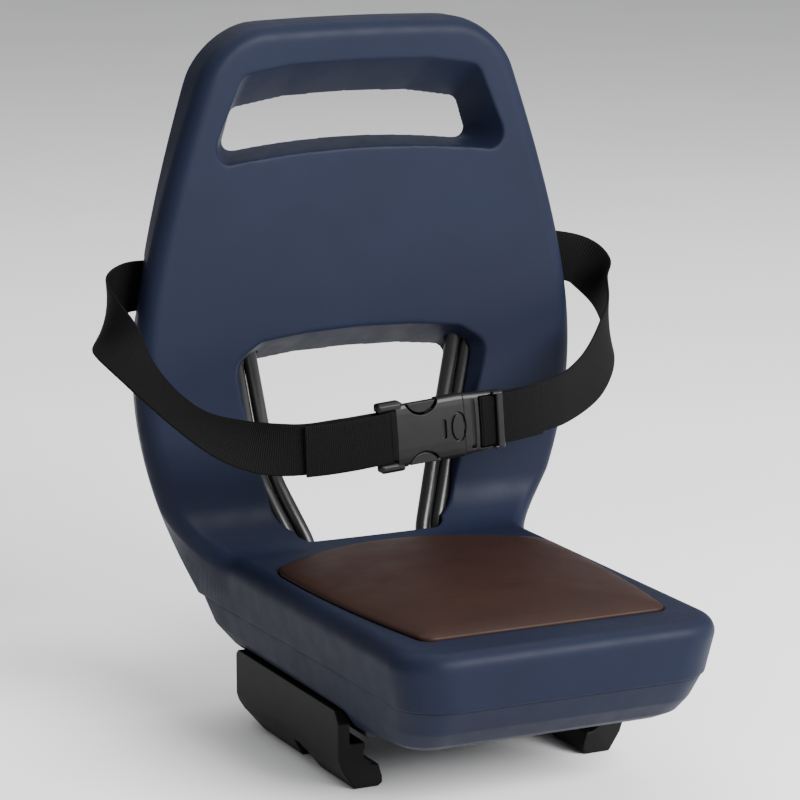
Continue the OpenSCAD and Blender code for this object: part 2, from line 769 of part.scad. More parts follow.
back_rib_xs = [-60, -20, 20, 60];
back_rib_zs = [294, 338];
back_rib_depth = 8;
module shell_ribs() {
    for (x = back_rib_xs)
        back_rib([x, window_top_z - 2], [x, grip_low_z + 6], back_rib_depth);
    for (z = back_rib_zs)
        back_rib([-back_half(z) + wall, z], [back_half(z) - wall, z], back_rib_depth);
}

module cradle(depth) {
    difference() {
        translate([-cradle_w / 2, -depth, -saddle_l / 2])
            cube([cradle_w, depth, saddle_l]);
        linear_extrude(saddle_l + 2, center = true)
            tube_pair(saddle_gap);
    }
}

module shell_bosses() {
    for (p = screw_spots)
        translate([p[0], p[1], boss_join_z])
            cylinder(r = boss_r, h = seat_z - boss_join_z - wall / 2, $fn = 16);
}

// Modules of the pieces
module seat_shell() {
    color(navy)
        difference() {
            union() {
                difference() {
                    skin(0, 0);
                    skin(wall, 6);
                }
                intersection() {
                    skin(wall / 2, 0);
                    union() {
                        grip_opening(wall);
                        difference() {
                            union() {
                                window_flange();
                                heel_flange();
                            }
                            leg_room();
                        }
                        shell_ribs();
                        place_upper()
                            cradle(tube_y - back_front_y - wall);
                        shell_bosses();
                        translate([0, 0, seat_z - pad_recess - wall])
                            linear_extrude(wall)
                                offset(delta = wall)
                                    polygon(pad_outline);
                    }
                }
            }
            grip_opening(0);
            window_opening(0);
            window_foot();
            heel_opening(0);
            translate([0, 0, seat_z - pad_recess])
                linear_extrude(20)
                    offset(delta = pad_gap)
                        polygon(pad_outline);
            belt_notches();
            for (p = screw_spots)
                translate([p[0], p[1], boss_join_z - 1])
                    cylinder(d = screw_d + 0.3, h = 24, $fn = 16);
            place_upper()
                saddle_holes(screw_d + 0.3);
        }
}

counterbore_r = 4.6;
counterbore_z = pan_z + 8;
pad_studs = [12, 59];
stud_r = 3;
rail_pad_w = 20;
rail_pad_x = recess_x - 0.5 - rail_pad_w / 2;
module base_pan() {
    color(navy)
        difference() {
            union() {
                difference() {
                    pan_form(0, 0);
                    pan_form(wall, 3);
                }
                intersection() {
                    pan_form(wall / 2, 0);
                    union() {
                        jaw_recess(wall);
                        for (p = screw_spots)
                            translate([p[0], p[1], pan_z]) {
                                cylinder(r = boss_r + 1.8, h = counterbore_z - pan_z + 3, $fn = 16);
                                cylinder(r = boss_r, h = boss_join_z - pan_z - fit, $fn = 16);
                            }
                        place_lower()
                            cradle(tube_feet_z - pan_z - 1);
                        for (s = [-1, 1]) {
                            floor_rib([s * 30, -128], [s * 30, -43], pan_z + 1, wall + 6);
                            floor_rib([s * 10, -133], [s * 10, 107], pan_z + 1, wall + 6);
                            floor_rib([s * 30, -83], [s * 92, -83], pan_z + 1, wall + 8);
                        }
                        floor_rib([-30, -43], [30, -43], pan_z + 1, wall + 6);
                        floor_rib([-30, 77], [30, 77], pan_z + 1, wall + 6);
                    }
                }
            }
            jaw_recess(0);
            arm_windows();
            for (p = screw_spots)
                translate([p[0], p[1], 0]) {
                    cylinder(r = counterbore_r, h = counterbore_z, $fn = 16);
                    cylinder(d = screw_d + 0.4, h = boss_join_z + 1, $fn = 16);
                }
            at_bolts()
                cylinder(d = bolt_d + slot_clear, h = arm_low_z, $fn = 16);
            for (s = [-1, 1], y = pad_studs)
                translate([s * rail_pad_x, y, 0])
                    cylinder(r = stud_r + 0.3, h = arm_low_z, $fn = 16);
            place_lower()
                saddle_holes(screw_d + 0.3);
        }
}

module seat_pad() {
    color(hide)
        pad_solid();
}

module outer_tube() {
    color(jet)
        hollow_tube(route(tube_pitch / 2), tube_d / 2, tube_d / 2 - tube_wall, 10);
}

module inner_tube() {
    color(jet)
        hollow_tube(route(-tube_pitch / 2), tube_d / 2, tube_d / 2 - tube_wall, 10);
}

plug_cap = 2;
plug_shank = 8;
module tube_plugs() {
    color(jet)
        for (s = [-1, 1], k = [-1, 1])
            translate([s * (leg_heel[0] + k * tube_pitch / 2), tube_feet_y, tube_feet_z])
                rotate([90, 0, 0]) {
                    cylinder(d = tube_d, h = plug_cap);
                    translate([0, 0, -plug_shank])
                        cylinder(d = tube_d - 2 * tube_wall - 0.4, h = plug_shank + plug_cap / 2);
                }
}

module upper_saddles() {
    color(jet)
        place_upper()
            difference() {
                saddle();
                saddle_holes(screw_d + 0.4);
            }
}

module lower_saddles() {
    color(jet)
        place_lower()
            difference() {
                saddle();
                saddle_holes(screw_d + 0.4);
            }
}

screw_l = 14;
module saddle_pair_screws() {
    for (s = [-1, 1])
        translate([s * screw_pitch / 2, saddle_t, 0])
            rotate([-90, 0, 0]) {
                cylinder(r = screw_head_r, h = screw_head_t);
                translate([0, 0, -screw_l])
                    cylinder(d = screw_d, h = screw_l + screw_head_t / 2);
            }
}

module saddle_screws() {
    color("silver") {
        place_upper()
            saddle_pair_screws();
        place_lower()
            saddle_pair_screws();
    }
}

pan_screw_bite = 21;
module pan_screws() {
    color("silver")
        for (p = screw_spots)
            translate([p[0], p[1], counterbore_z]) {
                translate([0, 0, -3])
                    cylinder(r = counterbore_r - 0.6, h = 3);
                translate([0, 0, -1])
                    cylinder(d = screw_d, h = boss_join_z - counterbore_z + pan_screw_bite);
            }
}

module lap_belt() {
    color(jet)
        ribbon(belt_keys, belt_w, belt_t);
}

module buckle_socket() {
    color(jet)
        place_buckle()
            difference() {
                union() {
                    difference() {
                        flat(buckle_t)
                            socket_outline();
                        loop_room(-1);
                    }
                    loop_bar(-1);
                }
                // Cavity for the prongs
                translate([-28, -cavity_h / 2, -cavity_t / 2])
                    cube([40 + mouth_x, cavity_h, cavity_t]);
            }
}

plug_end_x = 47;
module plug_outline() {
    difference() {
        translate([mouth_x + fit, -buckle_h / 2])
            square([plug_end_x - mouth_x - fit, buckle_h]);
        for (x = [22, 29])
            translate([x, -belt_w / 2 - 1])
                square([4.5, belt_w + 2]);
    }
}

module prong(s) {
    polygon([[mouth_x + 2, s * 9], [mouth_x + 2, s * 14.5], [-9, s * 14.8], [-10.5, s * 17],
        [-18, s * 17], [-20.5, s * 14.5], [-24, s * 13], [-24, s * 10], [-4, s * 9]]);
}

module buckle_plug() {
    color(jet)
        place_buckle() {
            difference() {
                flat(buckle_t - 3)
                    plug_outline();
                loop_room(1);
            }
            loop_bar(1);
            flat(prong_h) {
                prong(1);
                mirror([0, 1])
                    prong(1);
                translate([-16, -3])
                    square([18 + mouth_x, 6]);
            }
        }
}

module jaw_left() {
    color(jet)
        mirror([1, 0, 0])
            jaw();
}

module jaw_right() {
    color(jet)
        jaw();
}

module rail_pad() {
    chamfer = 2;
    w = rail_pad_w / 2;
    translate([rail_pad_x, jaw_rear_y - 4, 0])
        rotate([90, 0, 0])
            linear_extrude(jaw_l - 8)
                polygon([[-w, pan_z], [-w, pan_z - pad_h + chamfer], [-w + chamfer, pan_z - pad_h],
                    [w - chamfer, pan_z - pad_h], [w, pan_z - pad_h + chamfer], [w, pan_z]]);
    for (y = pad_studs)
        translate([rail_pad_x, y, pan_z - 1])
            cylinder(r = stud_r, h = wall + 2);
}

module rail_pad_left() {
    color("#2b2b2d")
        mirror([1, 0, 0])
            rail_pad();
}

module rail_pad_right() {
    color("#2b2b2d")
        rail_pad();
}

bolt_head_t = 4;
washer_t = 1.6;
nut_t = 5;
bolt_end_z = arm_high_z + washer_t + nut_t + 2;
module clamp_bolts() {
    color("silver")
        at_bolts() {
            translate([0, 0, pan_z - bolt_head_t])
                cylinder(r = bolt_d * 0.85, h = bolt_head_t);
            translate([0, 0, pan_z - 1])
                cylinder(d = bolt_d, h = bolt_end_z - pan_z + 1);
        }
}

module clamp_washers() {
    color("silver")
        at_bolts()
            translate([0, 0, arm_high_z])
                difference() {
                    cylinder(d = bolt_d * 2.2, h = washer_t);
                    translate([0, 0, -1])
                        cylinder(d = bolt_d + 0.4, h = washer_t + 2);
                }
}

module clamp_nuts() {
    color("silver")
        at_bolts()
            translate([0, 0, arm_high_z + washer_t])
                difference() {
                    cylinder(d = bolt_d * 1.9, h = nut_t, $fn = 6);
                    translate([0, 0, -1])
                        cylinder(d = bolt_d, h = nut_t + 2);
                }
}

seat_shell();
base_pan();
seat_pad();
outer_tube();
inner_tube();
tube_plugs();
upper_saddles();
lower_saddles();
saddle_screws();
pan_screws();
lap_belt();
buckle_socket();
buckle_plug();
jaw_left();
jaw_right();
rail_pad_left();
rail_pad_right();
clamp_bolts();
clamp_washers();
clamp_nuts();
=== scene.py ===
# Dresses the rear child seat: moulded shell and pan, foam pad, steel tubes, lap belt, buckle
# and clamping jaws. Metres, in the row's frame.
import math
import bpy
import bmesh
import numpy as np
from mathutils import Matrix, Vector


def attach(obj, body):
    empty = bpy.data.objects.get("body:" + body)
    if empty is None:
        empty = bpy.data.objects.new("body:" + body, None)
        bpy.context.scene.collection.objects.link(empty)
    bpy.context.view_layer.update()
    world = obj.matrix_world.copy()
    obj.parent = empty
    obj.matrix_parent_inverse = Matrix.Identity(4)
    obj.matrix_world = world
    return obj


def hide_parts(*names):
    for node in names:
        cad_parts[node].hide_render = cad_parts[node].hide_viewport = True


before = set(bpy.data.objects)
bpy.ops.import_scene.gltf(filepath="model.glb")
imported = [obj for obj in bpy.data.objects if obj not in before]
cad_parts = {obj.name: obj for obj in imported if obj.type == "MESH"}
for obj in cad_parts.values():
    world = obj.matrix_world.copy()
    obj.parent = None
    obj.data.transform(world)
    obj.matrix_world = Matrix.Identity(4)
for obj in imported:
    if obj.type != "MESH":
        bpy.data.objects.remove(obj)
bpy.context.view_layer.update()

# Camera, as the photograph was taken
camera_turn = math.radians(25.929)
camera_drop = math.radians(11.7586)
look = Vector((math.sin(camera_turn) * math.cos(camera_drop),
               math.cos(camera_turn) * math.cos(camera_drop), -math.sin(camera_drop)))
aim = Vector((0, 0.074, 0.222))
camera_data = bpy.data.cameras.new("camera")
camera_data.lens = 150.758
camera_data.sensor_width = 36
camera_data.shift_x = -0.00409
camera_data.shift_y = 0.00073
camera = bpy.data.objects.new("camera", camera_data)
camera.location = aim - look * 2.23345
camera.rotation_euler = look.to_track_quat("-Z", "Y").to_euler()
bpy.context.scene.collection.objects.link(camera)
bpy.context.scene.camera = camera


# Colour and nodes
def from_hex(text):
    """An sRGB hex colour as linear red, green, blue and alpha."""
    parts = [int(text[i:i + 2], 16) / 255 for i in (1, 3, 5)]
    return [c / 12.92 if c <= 0.04045 else ((c + 0.055) / 1.055) ** 2.4 for c in parts] + [1.0]


def add_node(tree, kind, settings=None, inputs=None):
    """Adds one node. An input that is an output socket is linked, and any other is a value."""
    node = tree.nodes.new(kind)
    for name, value in (settings or {}).items():
        setattr(node, name, value)
    for name, value in (inputs or {}).items():
        if isinstance(value, bpy.types.NodeSocket):
            tree.links.new(value, node.inputs[name])
        else:
            node.inputs[name].default_value = value
    return node


def new_material(name, roughness, ior=1.5, metallic=0.0):
    """A material whose finish starts from typical values of the real one."""
    material = bpy.data.materials.new(name)
    material.use_nodes = True
    tree = material.node_tree
    surface = tree.nodes["Principled BSDF"]
    surface.inputs["Roughness"].default_value = roughness
    surface.inputs["IOR"].default_value = ior
    surface.inputs["Metallic"].default_value = metallic
    return material, tree, surface


def colour_ramp(tree, factor, stops):
    """Colours blended along a factor from 0 to 1."""
    ramp = add_node(tree, "ShaderNodeValToRGB", None, {"Fac": factor})
    while len(ramp.color_ramp.elements) < len(stops):
        ramp.color_ramp.elements.new(0.5)
    for element, (place, colour) in zip(ramp.color_ramp.elements, stops):
        element.position = place
        element.color = from_hex(colour)
    return ramp.outputs["Color"]


def level_ramp(tree, factor, low, high, low_to, high_to):
    """A value moved from one range to another."""
    return add_node(tree, "ShaderNodeMapRange", None, {
        "Value": factor, "From Min": low, "From Max": high,
        "To Min": low_to, "To Max": high_to}).outputs["Result"]


def grain(tree, size_mm, detail=2.0, rough=0.5):
    """Noise whose lumps are about size_mm across."""
    place = add_node(tree, "ShaderNodeTexCoord").outputs["Object"]
    return add_node(tree, "ShaderNodeTexNoise", {"noise_dimensions": "3D"}, {
        "Vector": place, "Scale": 1000 / size_mm, "Detail": detail,
        "Roughness": rough}).outputs["Fac"]


def moulded_polypropylene():
    """Moulded PP with a fine spark-eroded grain: matt, with a broad soft sheen on its rounds."""
    material, tree, surface = new_material("moulded_polypropylene", 0.46, 1.49)
    surface.inputs["Specular IOR Level"].default_value = 0.09
    clouds = grain(tree, 90, 2.0)
    colour = colour_ramp(tree, clouds, [(0.3, "#121625"), (0.7, "#141929")])
    tree.links.new(colour, surface.inputs["Base Color"])
    # The real grain is near 0.1 mm; it is drawn at 0.55 mm so that it shows
    fine = grain(tree, 0.55, 3.0, 0.6)
    tree.links.new(level_ramp(tree, grain(tree, 14, 2.0), 0.3, 0.7, 0.47, 0.55),
                   surface.inputs["Roughness"])
    bump = add_node(tree, "ShaderNodeBump", None, {
        "Strength": 0.22, "Distance": 0.00012, "Height": fine})
    tree.links.new(bump.outputs["Normal"], surface.inputs["Normal"])
    return material


def skinned_foam():
    """Self-skinned PU foam with a leather grain: smooth, warm, with a dull sheen."""
    material, tree, surface = new_material("skinned_foam", 0.5, 1.48)
    colour = colour_ramp(tree, grain(tree, 60, 3.0), [(0.3, "#22120d"), (0.7, "#27150f")])
    tree.links.new(colour, surface.inputs["Base Color"])
    # Pebbles of about 0.9 mm with creases between them
    place = add_node(tree, "ShaderNodeTexCoord").outputs["Object"]
    pebbles = add_node(tree, "ShaderNodeTexVoronoi", {"feature": "DISTANCE_TO_EDGE"}, {
        "Vector": place, "Scale": 1000 / 0.9}).outputs["Distance"]
    bump = add_node(tree, "ShaderNodeBump", None, {
        "Strength": 0.2, "Distance": 0.0001,
        "Height": level_ramp(tree, pebbles, 0.0, 0.2, 0.0, 1.0)})
    soft = add_node(tree, "ShaderNodeBump", None, {
        "Strength": 0.25, "Distance": 0.0006, "Height": grain(tree, 18, 2.0),
        "Normal": bump.outputs["Normal"]})
    tree.links.new(soft.outputs["Normal"], surface.inputs["Normal"])
    tree.links.new(level_ramp(tree, grain(tree, 25, 2.0), 0.3, 0.7, 0.46, 0.56),
                   surface.inputs["Roughness"])
    surface.inputs["Specular IOR Level"].default_value = 0.14
    return material


def powder_coated_steel(name="powder_coated_steel", roughness=0.36):
    """Black powder coat baked on steel: glossy, with a faint orange peel."""
    material, tree, surface = new_material(name, roughness, 1.5)
    colour = colour_ramp(tree, grain(tree, 30, 2.0), [(0.3, "#121213"), (0.7, "#171718")])
    tree.links.new(colour, surface.inputs["Base Color"])
    bump = add_node(tree, "ShaderNodeBump", None, {
        "Strength": 0.12, "Distance": 0.0002, "Height": grain(tree, 1.6, 2.0)})
    tree.links.new(bump.outputs["Normal"], surface.inputs["Normal"])
    surface.inputs["Specular IOR Level"].default_value = 0.3
    surface.inputs["Coat Weight"].default_value = 0.12
    surface.inputs["Coat Roughness"].default_value = 0.2
    return material


def glass_filled_nylon():
    """Black nylon with glass fibre: matt and hard, with a flowed, slightly streaked skin."""
    material, tree, surface = new_material("glass_filled_nylon", 0.52, 1.53)
    surface.inputs["Specular IOR Level"].default_value = 0.09
    colour = colour_ramp(tree, grain(tree, 20, 3.0), [(0.3, "#0d0d0e"), (0.7, "#131314")])
    tree.links.new(colour, surface.inputs["Base Color"])
    bump = add_node(tree, "ShaderNodeBump", None, {
        "Strength": 0.3, "Distance": 0.00012, "Height": grain(tree, 0.6, 3.0, 0.6)})
    tree.links.new(bump.outputs["Normal"], surface.inputs["Normal"])
    return material


def acetal():
    """Moulded acetal, as on buckles: black and satin, a little waxy."""
    material, tree, surface = new_material("acetal", 0.36, 1.48)
    surface.inputs["Specular IOR Level"].default_value = 0.2
    colour = colour_ramp(tree, grain(tree, 12, 2.0), [(0.3, "#0a0a0b"), (0.7, "#0e0e0f")])
    tree.links.new(colour, surface.inputs["Base Color"])
    bump = add_node(tree, "ShaderNodeBump", None, {
        "Strength": 0.18, "Distance": 0.0001, "Height": grain(tree, 0.45, 3.0, 0.6)})
    tree.links.new(bump.outputs["Normal"], surface.inputs["Normal"])
    return material


def woven_polypropylene():
    """Black webbing: ribs across the tape about 1.4 mm apart, thin warp lines, firm selvedges."""
    material, tree, surface = new_material("woven_polypropylene", 0.72, 1.49)
    surface.inputs["Specular IOR Level"].default_value = 0.09
    place = add_node(tree, "ShaderNodeUVMap", {"uv_map": "tape"}).outputs["UV"]
    parts = add_node(tree, "ShaderNodeSeparateXYZ", None, {"Vector": place})
    along, across = parts.outputs["X"], parts.outputs["Y"]
    # Ribs 1.4 mm apart along the tape; the warp, 0.9 mm apart across it, steps by half a rib
    warp = add_node(tree, "ShaderNodeMath", {"operation": "MULTIPLY"},
                    {0: across, 1: 1000 / 0.9}).outputs[0]
    column = add_node(tree, "ShaderNodeMath", {"operation": "FLOOR"}, {0: warp}).outputs[0]
    stagger = add_node(tree, "ShaderNodeMath", {"operation": "MODULO"},
                       {0: column, 1: 2.0}).outputs[0]
    rib_place = add_node(tree, "ShaderNodeMath", {"operation": "MULTIPLY_ADD"},
                         {0: along, 1: 2 * math.pi * 1000 / 1.4}).outputs[0]
    shifted = add_node(tree, "ShaderNodeMath", {"operation": "MULTIPLY_ADD"},
                       {0: stagger, 1: 0.9, 2: rib_place}).outputs[0]
    ribs = add_node(tree, "ShaderNodeMath", {"operation": "SINE"}, {0: shifted}).outputs[0]
    warp_wave = add_node(tree, "ShaderNodeMath", {"operation": "SINE"}, {
        0: add_node(tree, "ShaderNodeMath", {"operation": "MULTIPLY"},
                    {0: warp, 1: 2 * math.pi}).outputs[0]}).outputs[0]
    weave = add_node(tree, "ShaderNodeMath", {"operation": "MULTIPLY_ADD"},
                     {0: warp_wave, 1: 0.35, 2: ribs}).outputs[0]
    bump = add_node(tree, "ShaderNodeBump", None, {
        "Strength": 0.55, "Distance": 0.00025, "Height": weave})
    tree.links.new(bump.outputs["Normal"], surface.inputs["Normal"])
    # Painted shade: the weave's low places are coloured darker and its high places lighter,
    # following the bump's height
    weave_shade = level_ramp(tree, weave, -1.3, 1.3, 0.0, 1.0)
    colour = colour_ramp(tree, weave_shade, [(0.0, "#020202"), (1.0, "#060606")])
    tree.links.new(colour, surface.inputs["Base Color"])
    return material


def zinc_plated_steel():
    """Bright zinc plate on turned steel: grey, with fine turning marks and dull patches."""
    material, tree, surface = new_material("zinc_plated_steel", 0.32, 1.5, 1.0)
    colour = colour_ramp(tree, grain(tree, 4, 3.0), [(0.3, "#a5a7a9"), (0.7, "#bcbec0")])
    tree.links.new(colour, surface.inputs["Base Color"])
    tree.links.new(level_ramp(tree, grain(tree, 2, 2.0), 0.3, 0.7, 0.26, 0.4),
                   surface.inputs["Roughness"])
    return material


def soft_rubber():
    """Black EPDM rubber: dull, with a dusty bloom."""
    material, tree, surface = new_material("soft_rubber", 0.78, 1.52)
    colour = colour_ramp(tree, grain(tree, 8, 3.0), [(0.3, "#1b1b1c"), (0.7, "#232324")])
    tree.links.new(colour, surface.inputs["Base Color"])
    bump = add_node(tree, "ShaderNodeBump", None, {
        "Strength": 0.3, "Distance": 0.00015, "Height": grain(tree, 0.7, 2.0)})
    tree.links.new(bump.outputs["Normal"], surface.inputs["Normal"])
    return material


shell_plastic = moulded_polypropylene()
pad_foam = skinned_foam()
black_paint = powder_coated_steel()
dull_paint = powder_coated_steel("satin_powder_coat", 0.46)
jaw_plastic = glass_filled_nylon()
buckle_plastic = acetal()
tape = woven_polypropylene()
zinc = zinc_plated_steel()
rubber = soft_rubber()


# Meshes
def new_piece(name, points, faces, material):
    """A mesh piece from points in metres."""
    mesh = bpy.data.meshes.new(name)
    mesh.from_pydata([tuple(p) for p in points], [], [tuple(f) for f in faces])
    mesh.materials.append(material)
    piece = bpy.data.objects.new(name, mesh)
    bpy.context.scene.collection.objects.link(piece)
    return piece


def settle(piece):
    """Makes what the piece's modifiers give its own mesh."""
    seen = piece.evaluated_get(bpy.context.evaluated_depsgraph_get())
    mesh = bpy.data.meshes.new_from_object(seen)
    old = piece.data
    piece.modifiers.clear()
    piece.data = mesh
    bpy.data.meshes.remove(old)


def smooth_faces(piece, angle=None):
    """Smooth shading, with edges left sharp past an angle in degrees."""
    piece.data.shade_smooth()
    if angle is not None:
        piece.data.set_sharp_from_angle(angle=math.radians(angle))


def carve(piece, tools, operation):
    """Joins, cuts or keeps what is common, with each tool in turn."""
    for tool in tools:
        step = piece.modifiers.new("step", "BOOLEAN")
        step.object = tool
        step.operation = operation
        step.solver = "MANIFOLD"
    settle(piece)
    for tool in tools:
        bpy.data.objects.remove(tool)
    return piece


def soften(piece, voxel, rounds, most):
    """Rounds every edge a little, as a mould does, and thins the mesh to a number of triangles."""
    remesh = piece.modifiers.new("remesh", "REMESH")
    remesh.mode = "VOXEL"
    remesh.voxel_size = voxel / 1000
    smooth = piece.modifiers.new("smooth", "SMOOTH")
    smooth.factor = 0.5
    smooth.iterations = rounds
    settle(piece)
    count = 2 * len(piece.data.polygons)
    if count > most:
        thin = piece.modifiers.new("thin", "DECIMATE")
        thin.ratio = most / count
        settle(piece)
    smooth_faces(piece)
    return piece


def circle(x, y, r, sides=32):
    turns = [2 * math.pi * k / sides for k in range(sides)]
    return [(x + r * math.cos(a), y + r * math.sin(a)) for a in turns]


def hull(points, name="form"):
    """The convex form round points in millimetres."""
    mesh = bmesh.new()
    for p in points:
        mesh.verts.new([c / 1000 for c in p])
    bmesh.ops.convex_hull(mesh, input=mesh.verts)
    loose = [v for v in mesh.verts if not v.link_faces]
    bmesh.ops.delete(mesh, geom=loose, context="VERTS")
    bmesh.ops.recalc_face_normals(mesh, faces=mesh.faces)
    data = bpy.data.meshes.new(name)
    mesh.to_mesh(data)
    mesh.free()
    form = bpy.data.objects.new(name, data)
    bpy.context.scene.collection.objects.link(form)
    return form


def level(outline, z):
    return [(x, y, z) for x, y in outline]


def upright(outline, y):
    return [(x, y, z) for x, z in outline]


def block(low, high):
    return hull([(x, y, z) for x in (low[0], high[0]) for y in (low[1], high[1])
                 for z in (low[2], high[2])])


def post(x, y, z, r, h, sides=32):
    return hull(level(circle(x, y, r, sides), z) + level(circle(x, y, r, sides), z + h))


def placed(form, matrix):
    form.data.transform(matrix)
    return form


def in_mm(x, y, z):
    return Matrix.Translation((x / 1000, y / 1000, z / 1000))


# Sizes that the source of the solids sets, in millimetres
back_top_z, back_w, widest_z, back_front_y = 471, 326, 238, 135
top_corner_r, top_arch, back_dish = 36, 3, 3
wall, edge_r, valley_r, rim_y = 3, 12, 30, 167
seat_z, seam_z, seat_front_y, seat_w, seat_corner_r = 118, 80, -169, 226, 34
grip_low_z, grip_high_z, grip_low_x = 377, 443, 108
window_top_z, window_x, window_foot_x, seat_rear_y = 265, 96, 57, 120
pan_z, pan_chin, arm_low_z, arm_top_z = 43, 34, 46.2, 52.2
pad_x, pad_recess, pad_gap = 100, 2, 0.4
tube_d, tube_gap = 10, 0.4
belt_w, belt_t, belt_z = 34, 1.8, 297
valley_y, valley_z = back_front_y - valley_r, seat_z + valley_r
heel_tilt = math.degrees(math.atan2(valley_z - seam_z, rim_y - valley_y))
seat_draft, chin_tilt = 6, 10


def limited(t):
    """A number held between 0 and 1."""
    return max(0.0, min(1.0, t))


def back_half(z):
    """Half width of the backrest's face at a height."""
    rise = abs(z - widest_z)
    slope, r = (0.38, 100) if z > widest_z else (1, 250)
    return back_w / 2 - slope * (math.sqrt(r * r + rise * rise) - r)


def rim_half_at_z(z):
    """Half width at the shell's rear edge, which draws in lower down."""
    return back_half(z) - 6 * limited((430 - z) / 130)


front_half = seat_w / 2 - seat_draft
rear_half = rim_half_at_z(seam_z)


def rim_half_at_y(y):
    return front_half + (rear_half - front_half) * (y - seat_front_y) / (rim_y - seat_front_y)


def bevel(d, r):
    """How far a round of radius r falls back, at a distance d from the outline."""
    return 0.0 if d >= r else r - math.sqrt(max(0.0, r * r - (r - d) ** 2))


edge_turns = [math.radians(a) for a in np.linspace(0, 90, 12)]


def end_gaps(r, corner):
    """Distances from an end of the shell at which it gets a section."""
    return [r * (1 - math.cos(a)) for a in edge_turns] + \
        [r + (corner - r) * k / 9 for k in range(1, 10)]


def back_station(z, gap, inset, over):
    """Where and how wide the shell is at a height of the backrest."""
    return (back_front_y + inset, z, 0.0, back_half(z) - inset, rim_half_at_z(z) - inset,
            rim_y - back_front_y - inset + over, gap, top_corner_r - inset,
            back_dish * limited((gap - 10) / 50))


def valley_station(t, inset, over):
    """The same at a turn, in degrees, of the valley between back and seat."""
    c, s = math.cos(math.radians(t)), math.sin(math.radians(t))
    reach = (rim_y - valley_y) / c if t < heel_tilt else (valley_z - seam_z) / s
    foot_y, foot_z = valley_y + reach * c, valley_z - reach * s
    share = (c * c + 1 - s) / 2
    face = seat_w / 2 + (back_half(valley_z) - seat_w / 2) * share
    rim = rim_half_at_z(foot_z) if t < heel_tilt else rim_half_at_y(foot_y)
    return (valley_y + (valley_r + inset) * c, valley_z - (valley_r + inset) * s, t,
            face - inset, rim - inset, reach - valley_r - inset + over,
            200.0, top_corner_r, back_dish * c)


def seat_station(y, gap, inset, over):
    """The same at a depth of the seat."""
    tilt = 90 - chin_tilt * limited(1 - gap / seat_corner_r)
    return (y, seat_z - inset, tilt, seat_w / 2 - inset, rim_half_at_y(y) - inset,
            (seat_z - inset - seam_z + over) / math.sin(math.radians(tilt)),
            gap, seat_corner_r - inset, 0.0)


def skin_stations(inset, over):
    """Every section place, from the top edge down to the seat's front."""
    rows = [back_station(back_top_z - inset - g, g, inset, over)
            for g in end_gaps(edge_r - inset, top_corner_r - inset)]
    for z in np.linspace(back_top_z - top_corner_r, valley_z, 60)[1:]:
        rows.append(back_station(z, back_top_z - z, inset, over))
    for t in sorted([heel_tilt] + list(np.linspace(0, 90, 22)[1:-1])):
        rows.append(valley_station(t, inset, over))
    for y in np.linspace(valley_y, seat_front_y + seat_corner_r, 30)[:-1]:
        rows.append(seat_station(y, y - seat_front_y, inset, over))
    for g in reversed(end_gaps(edge_r - inset, seat_corner_r - inset)):
        rows.append(seat_station(seat_front_y + inset + g, g, inset, over))
    return rows


def section(station, r):
    """One closed section: the rounded face, and straight sides that run back."""
    y0, z0, tilt, half, rim, reach, gap, corner, dish = station
    c, s = math.cos(math.radians(tilt)), math.sin(math.radians(tilt))
    narrow = corner - math.sqrt(max(0.0, corner ** 2 - (corner - gap) ** 2)) if gap < corner else 0
    w = half - narrow
    side = [w - r * (1 - math.cos(a)) for a in edge_turns]
    side += [(w - r) * k / 14 for k in range(13, 0, -1)]
    xs = [-x for x in side] + [0.0] + side[::-1]
    droop = top_arch * limited(1 - gap / 90) if tilt == 0 else 0
    face = []
    for x in xs:
        cx, cg = abs(x) - (half - corner), corner - gap
        if cx > 0 and cg > 0:
            d = corner - math.hypot(cx, cg)
        else:
            d = min(half - abs(x), gap)
        sink = bevel(d, r) + (dish * (1 - (x / (w - r)) ** 2) if abs(x) < w - r else 0)
        face.append((x, y0 + c * sink, z0 - s * sink - droop * (x / half) ** 2))
    back = [(x * (rim - narrow) / w, y0 + c * reach, z0 - s * reach - droop * (x / half) ** 2)
            for x in xs[::-1]]
    return face + back


def loft(rows, name="skin"):
    """A closed form through a row of sections."""
    n, m = len(rows[0]), len(rows)
    faces = []
    for i in range(m - 1):
        for j in range(n):
            a, b = i * n + j, i * n + (j + 1) % n
            faces.append((a, a + n, b + n, b))
    first = [(j, j + 1, n - 2 - j, n - 1 - j) for j in range(n // 2 - 1)]
    faces += first
    faces += [tuple(k + (m - 1) * n for k in reversed(f)) for f in first]
    points = [(x / 1000, y / 1000, z / 1000) for row in rows for x, y, z in row]
    return new_piece(name, points, faces, shell_plastic)


def skin(inset, over):
    """The shell's solid form, drawn in by inset and run out at the back by over."""
    return loft([section(st, edge_r - inset) for st in skin_stations(inset, over)])


# Openings through the shell
def discs(spots, r):
    """Circles at each spot and its mirror image."""
    return [p for x, z in spots for side in (-1, 1) for p in circle(side * x, z, r)]


def grip_opening(grow):
    """The handle opening, which narrows from the face to the back."""
    lean = 17 * (grip_high_z - grip_low_z) / 66
    front = discs([(grip_low_x - 12, grip_low_z + 12), (grip_low_x - 12 - lean, grip_high_z - 15),
                   (50, grip_high_z - 10.5), (0, grip_high_z - 9.5)], 12 + grow)
    rear = discs([(grip_low_x - 24, grip_low_z + 13), (grip_low_x - 29, grip_high_z - 37),
                  (45, grip_high_z - 31.5), (0, grip_high_z - 30)], 6 + 1.7 * grow)
    return hull(upright(front, back_front_y - 1) + upright(rear, rim_y + 0.01))


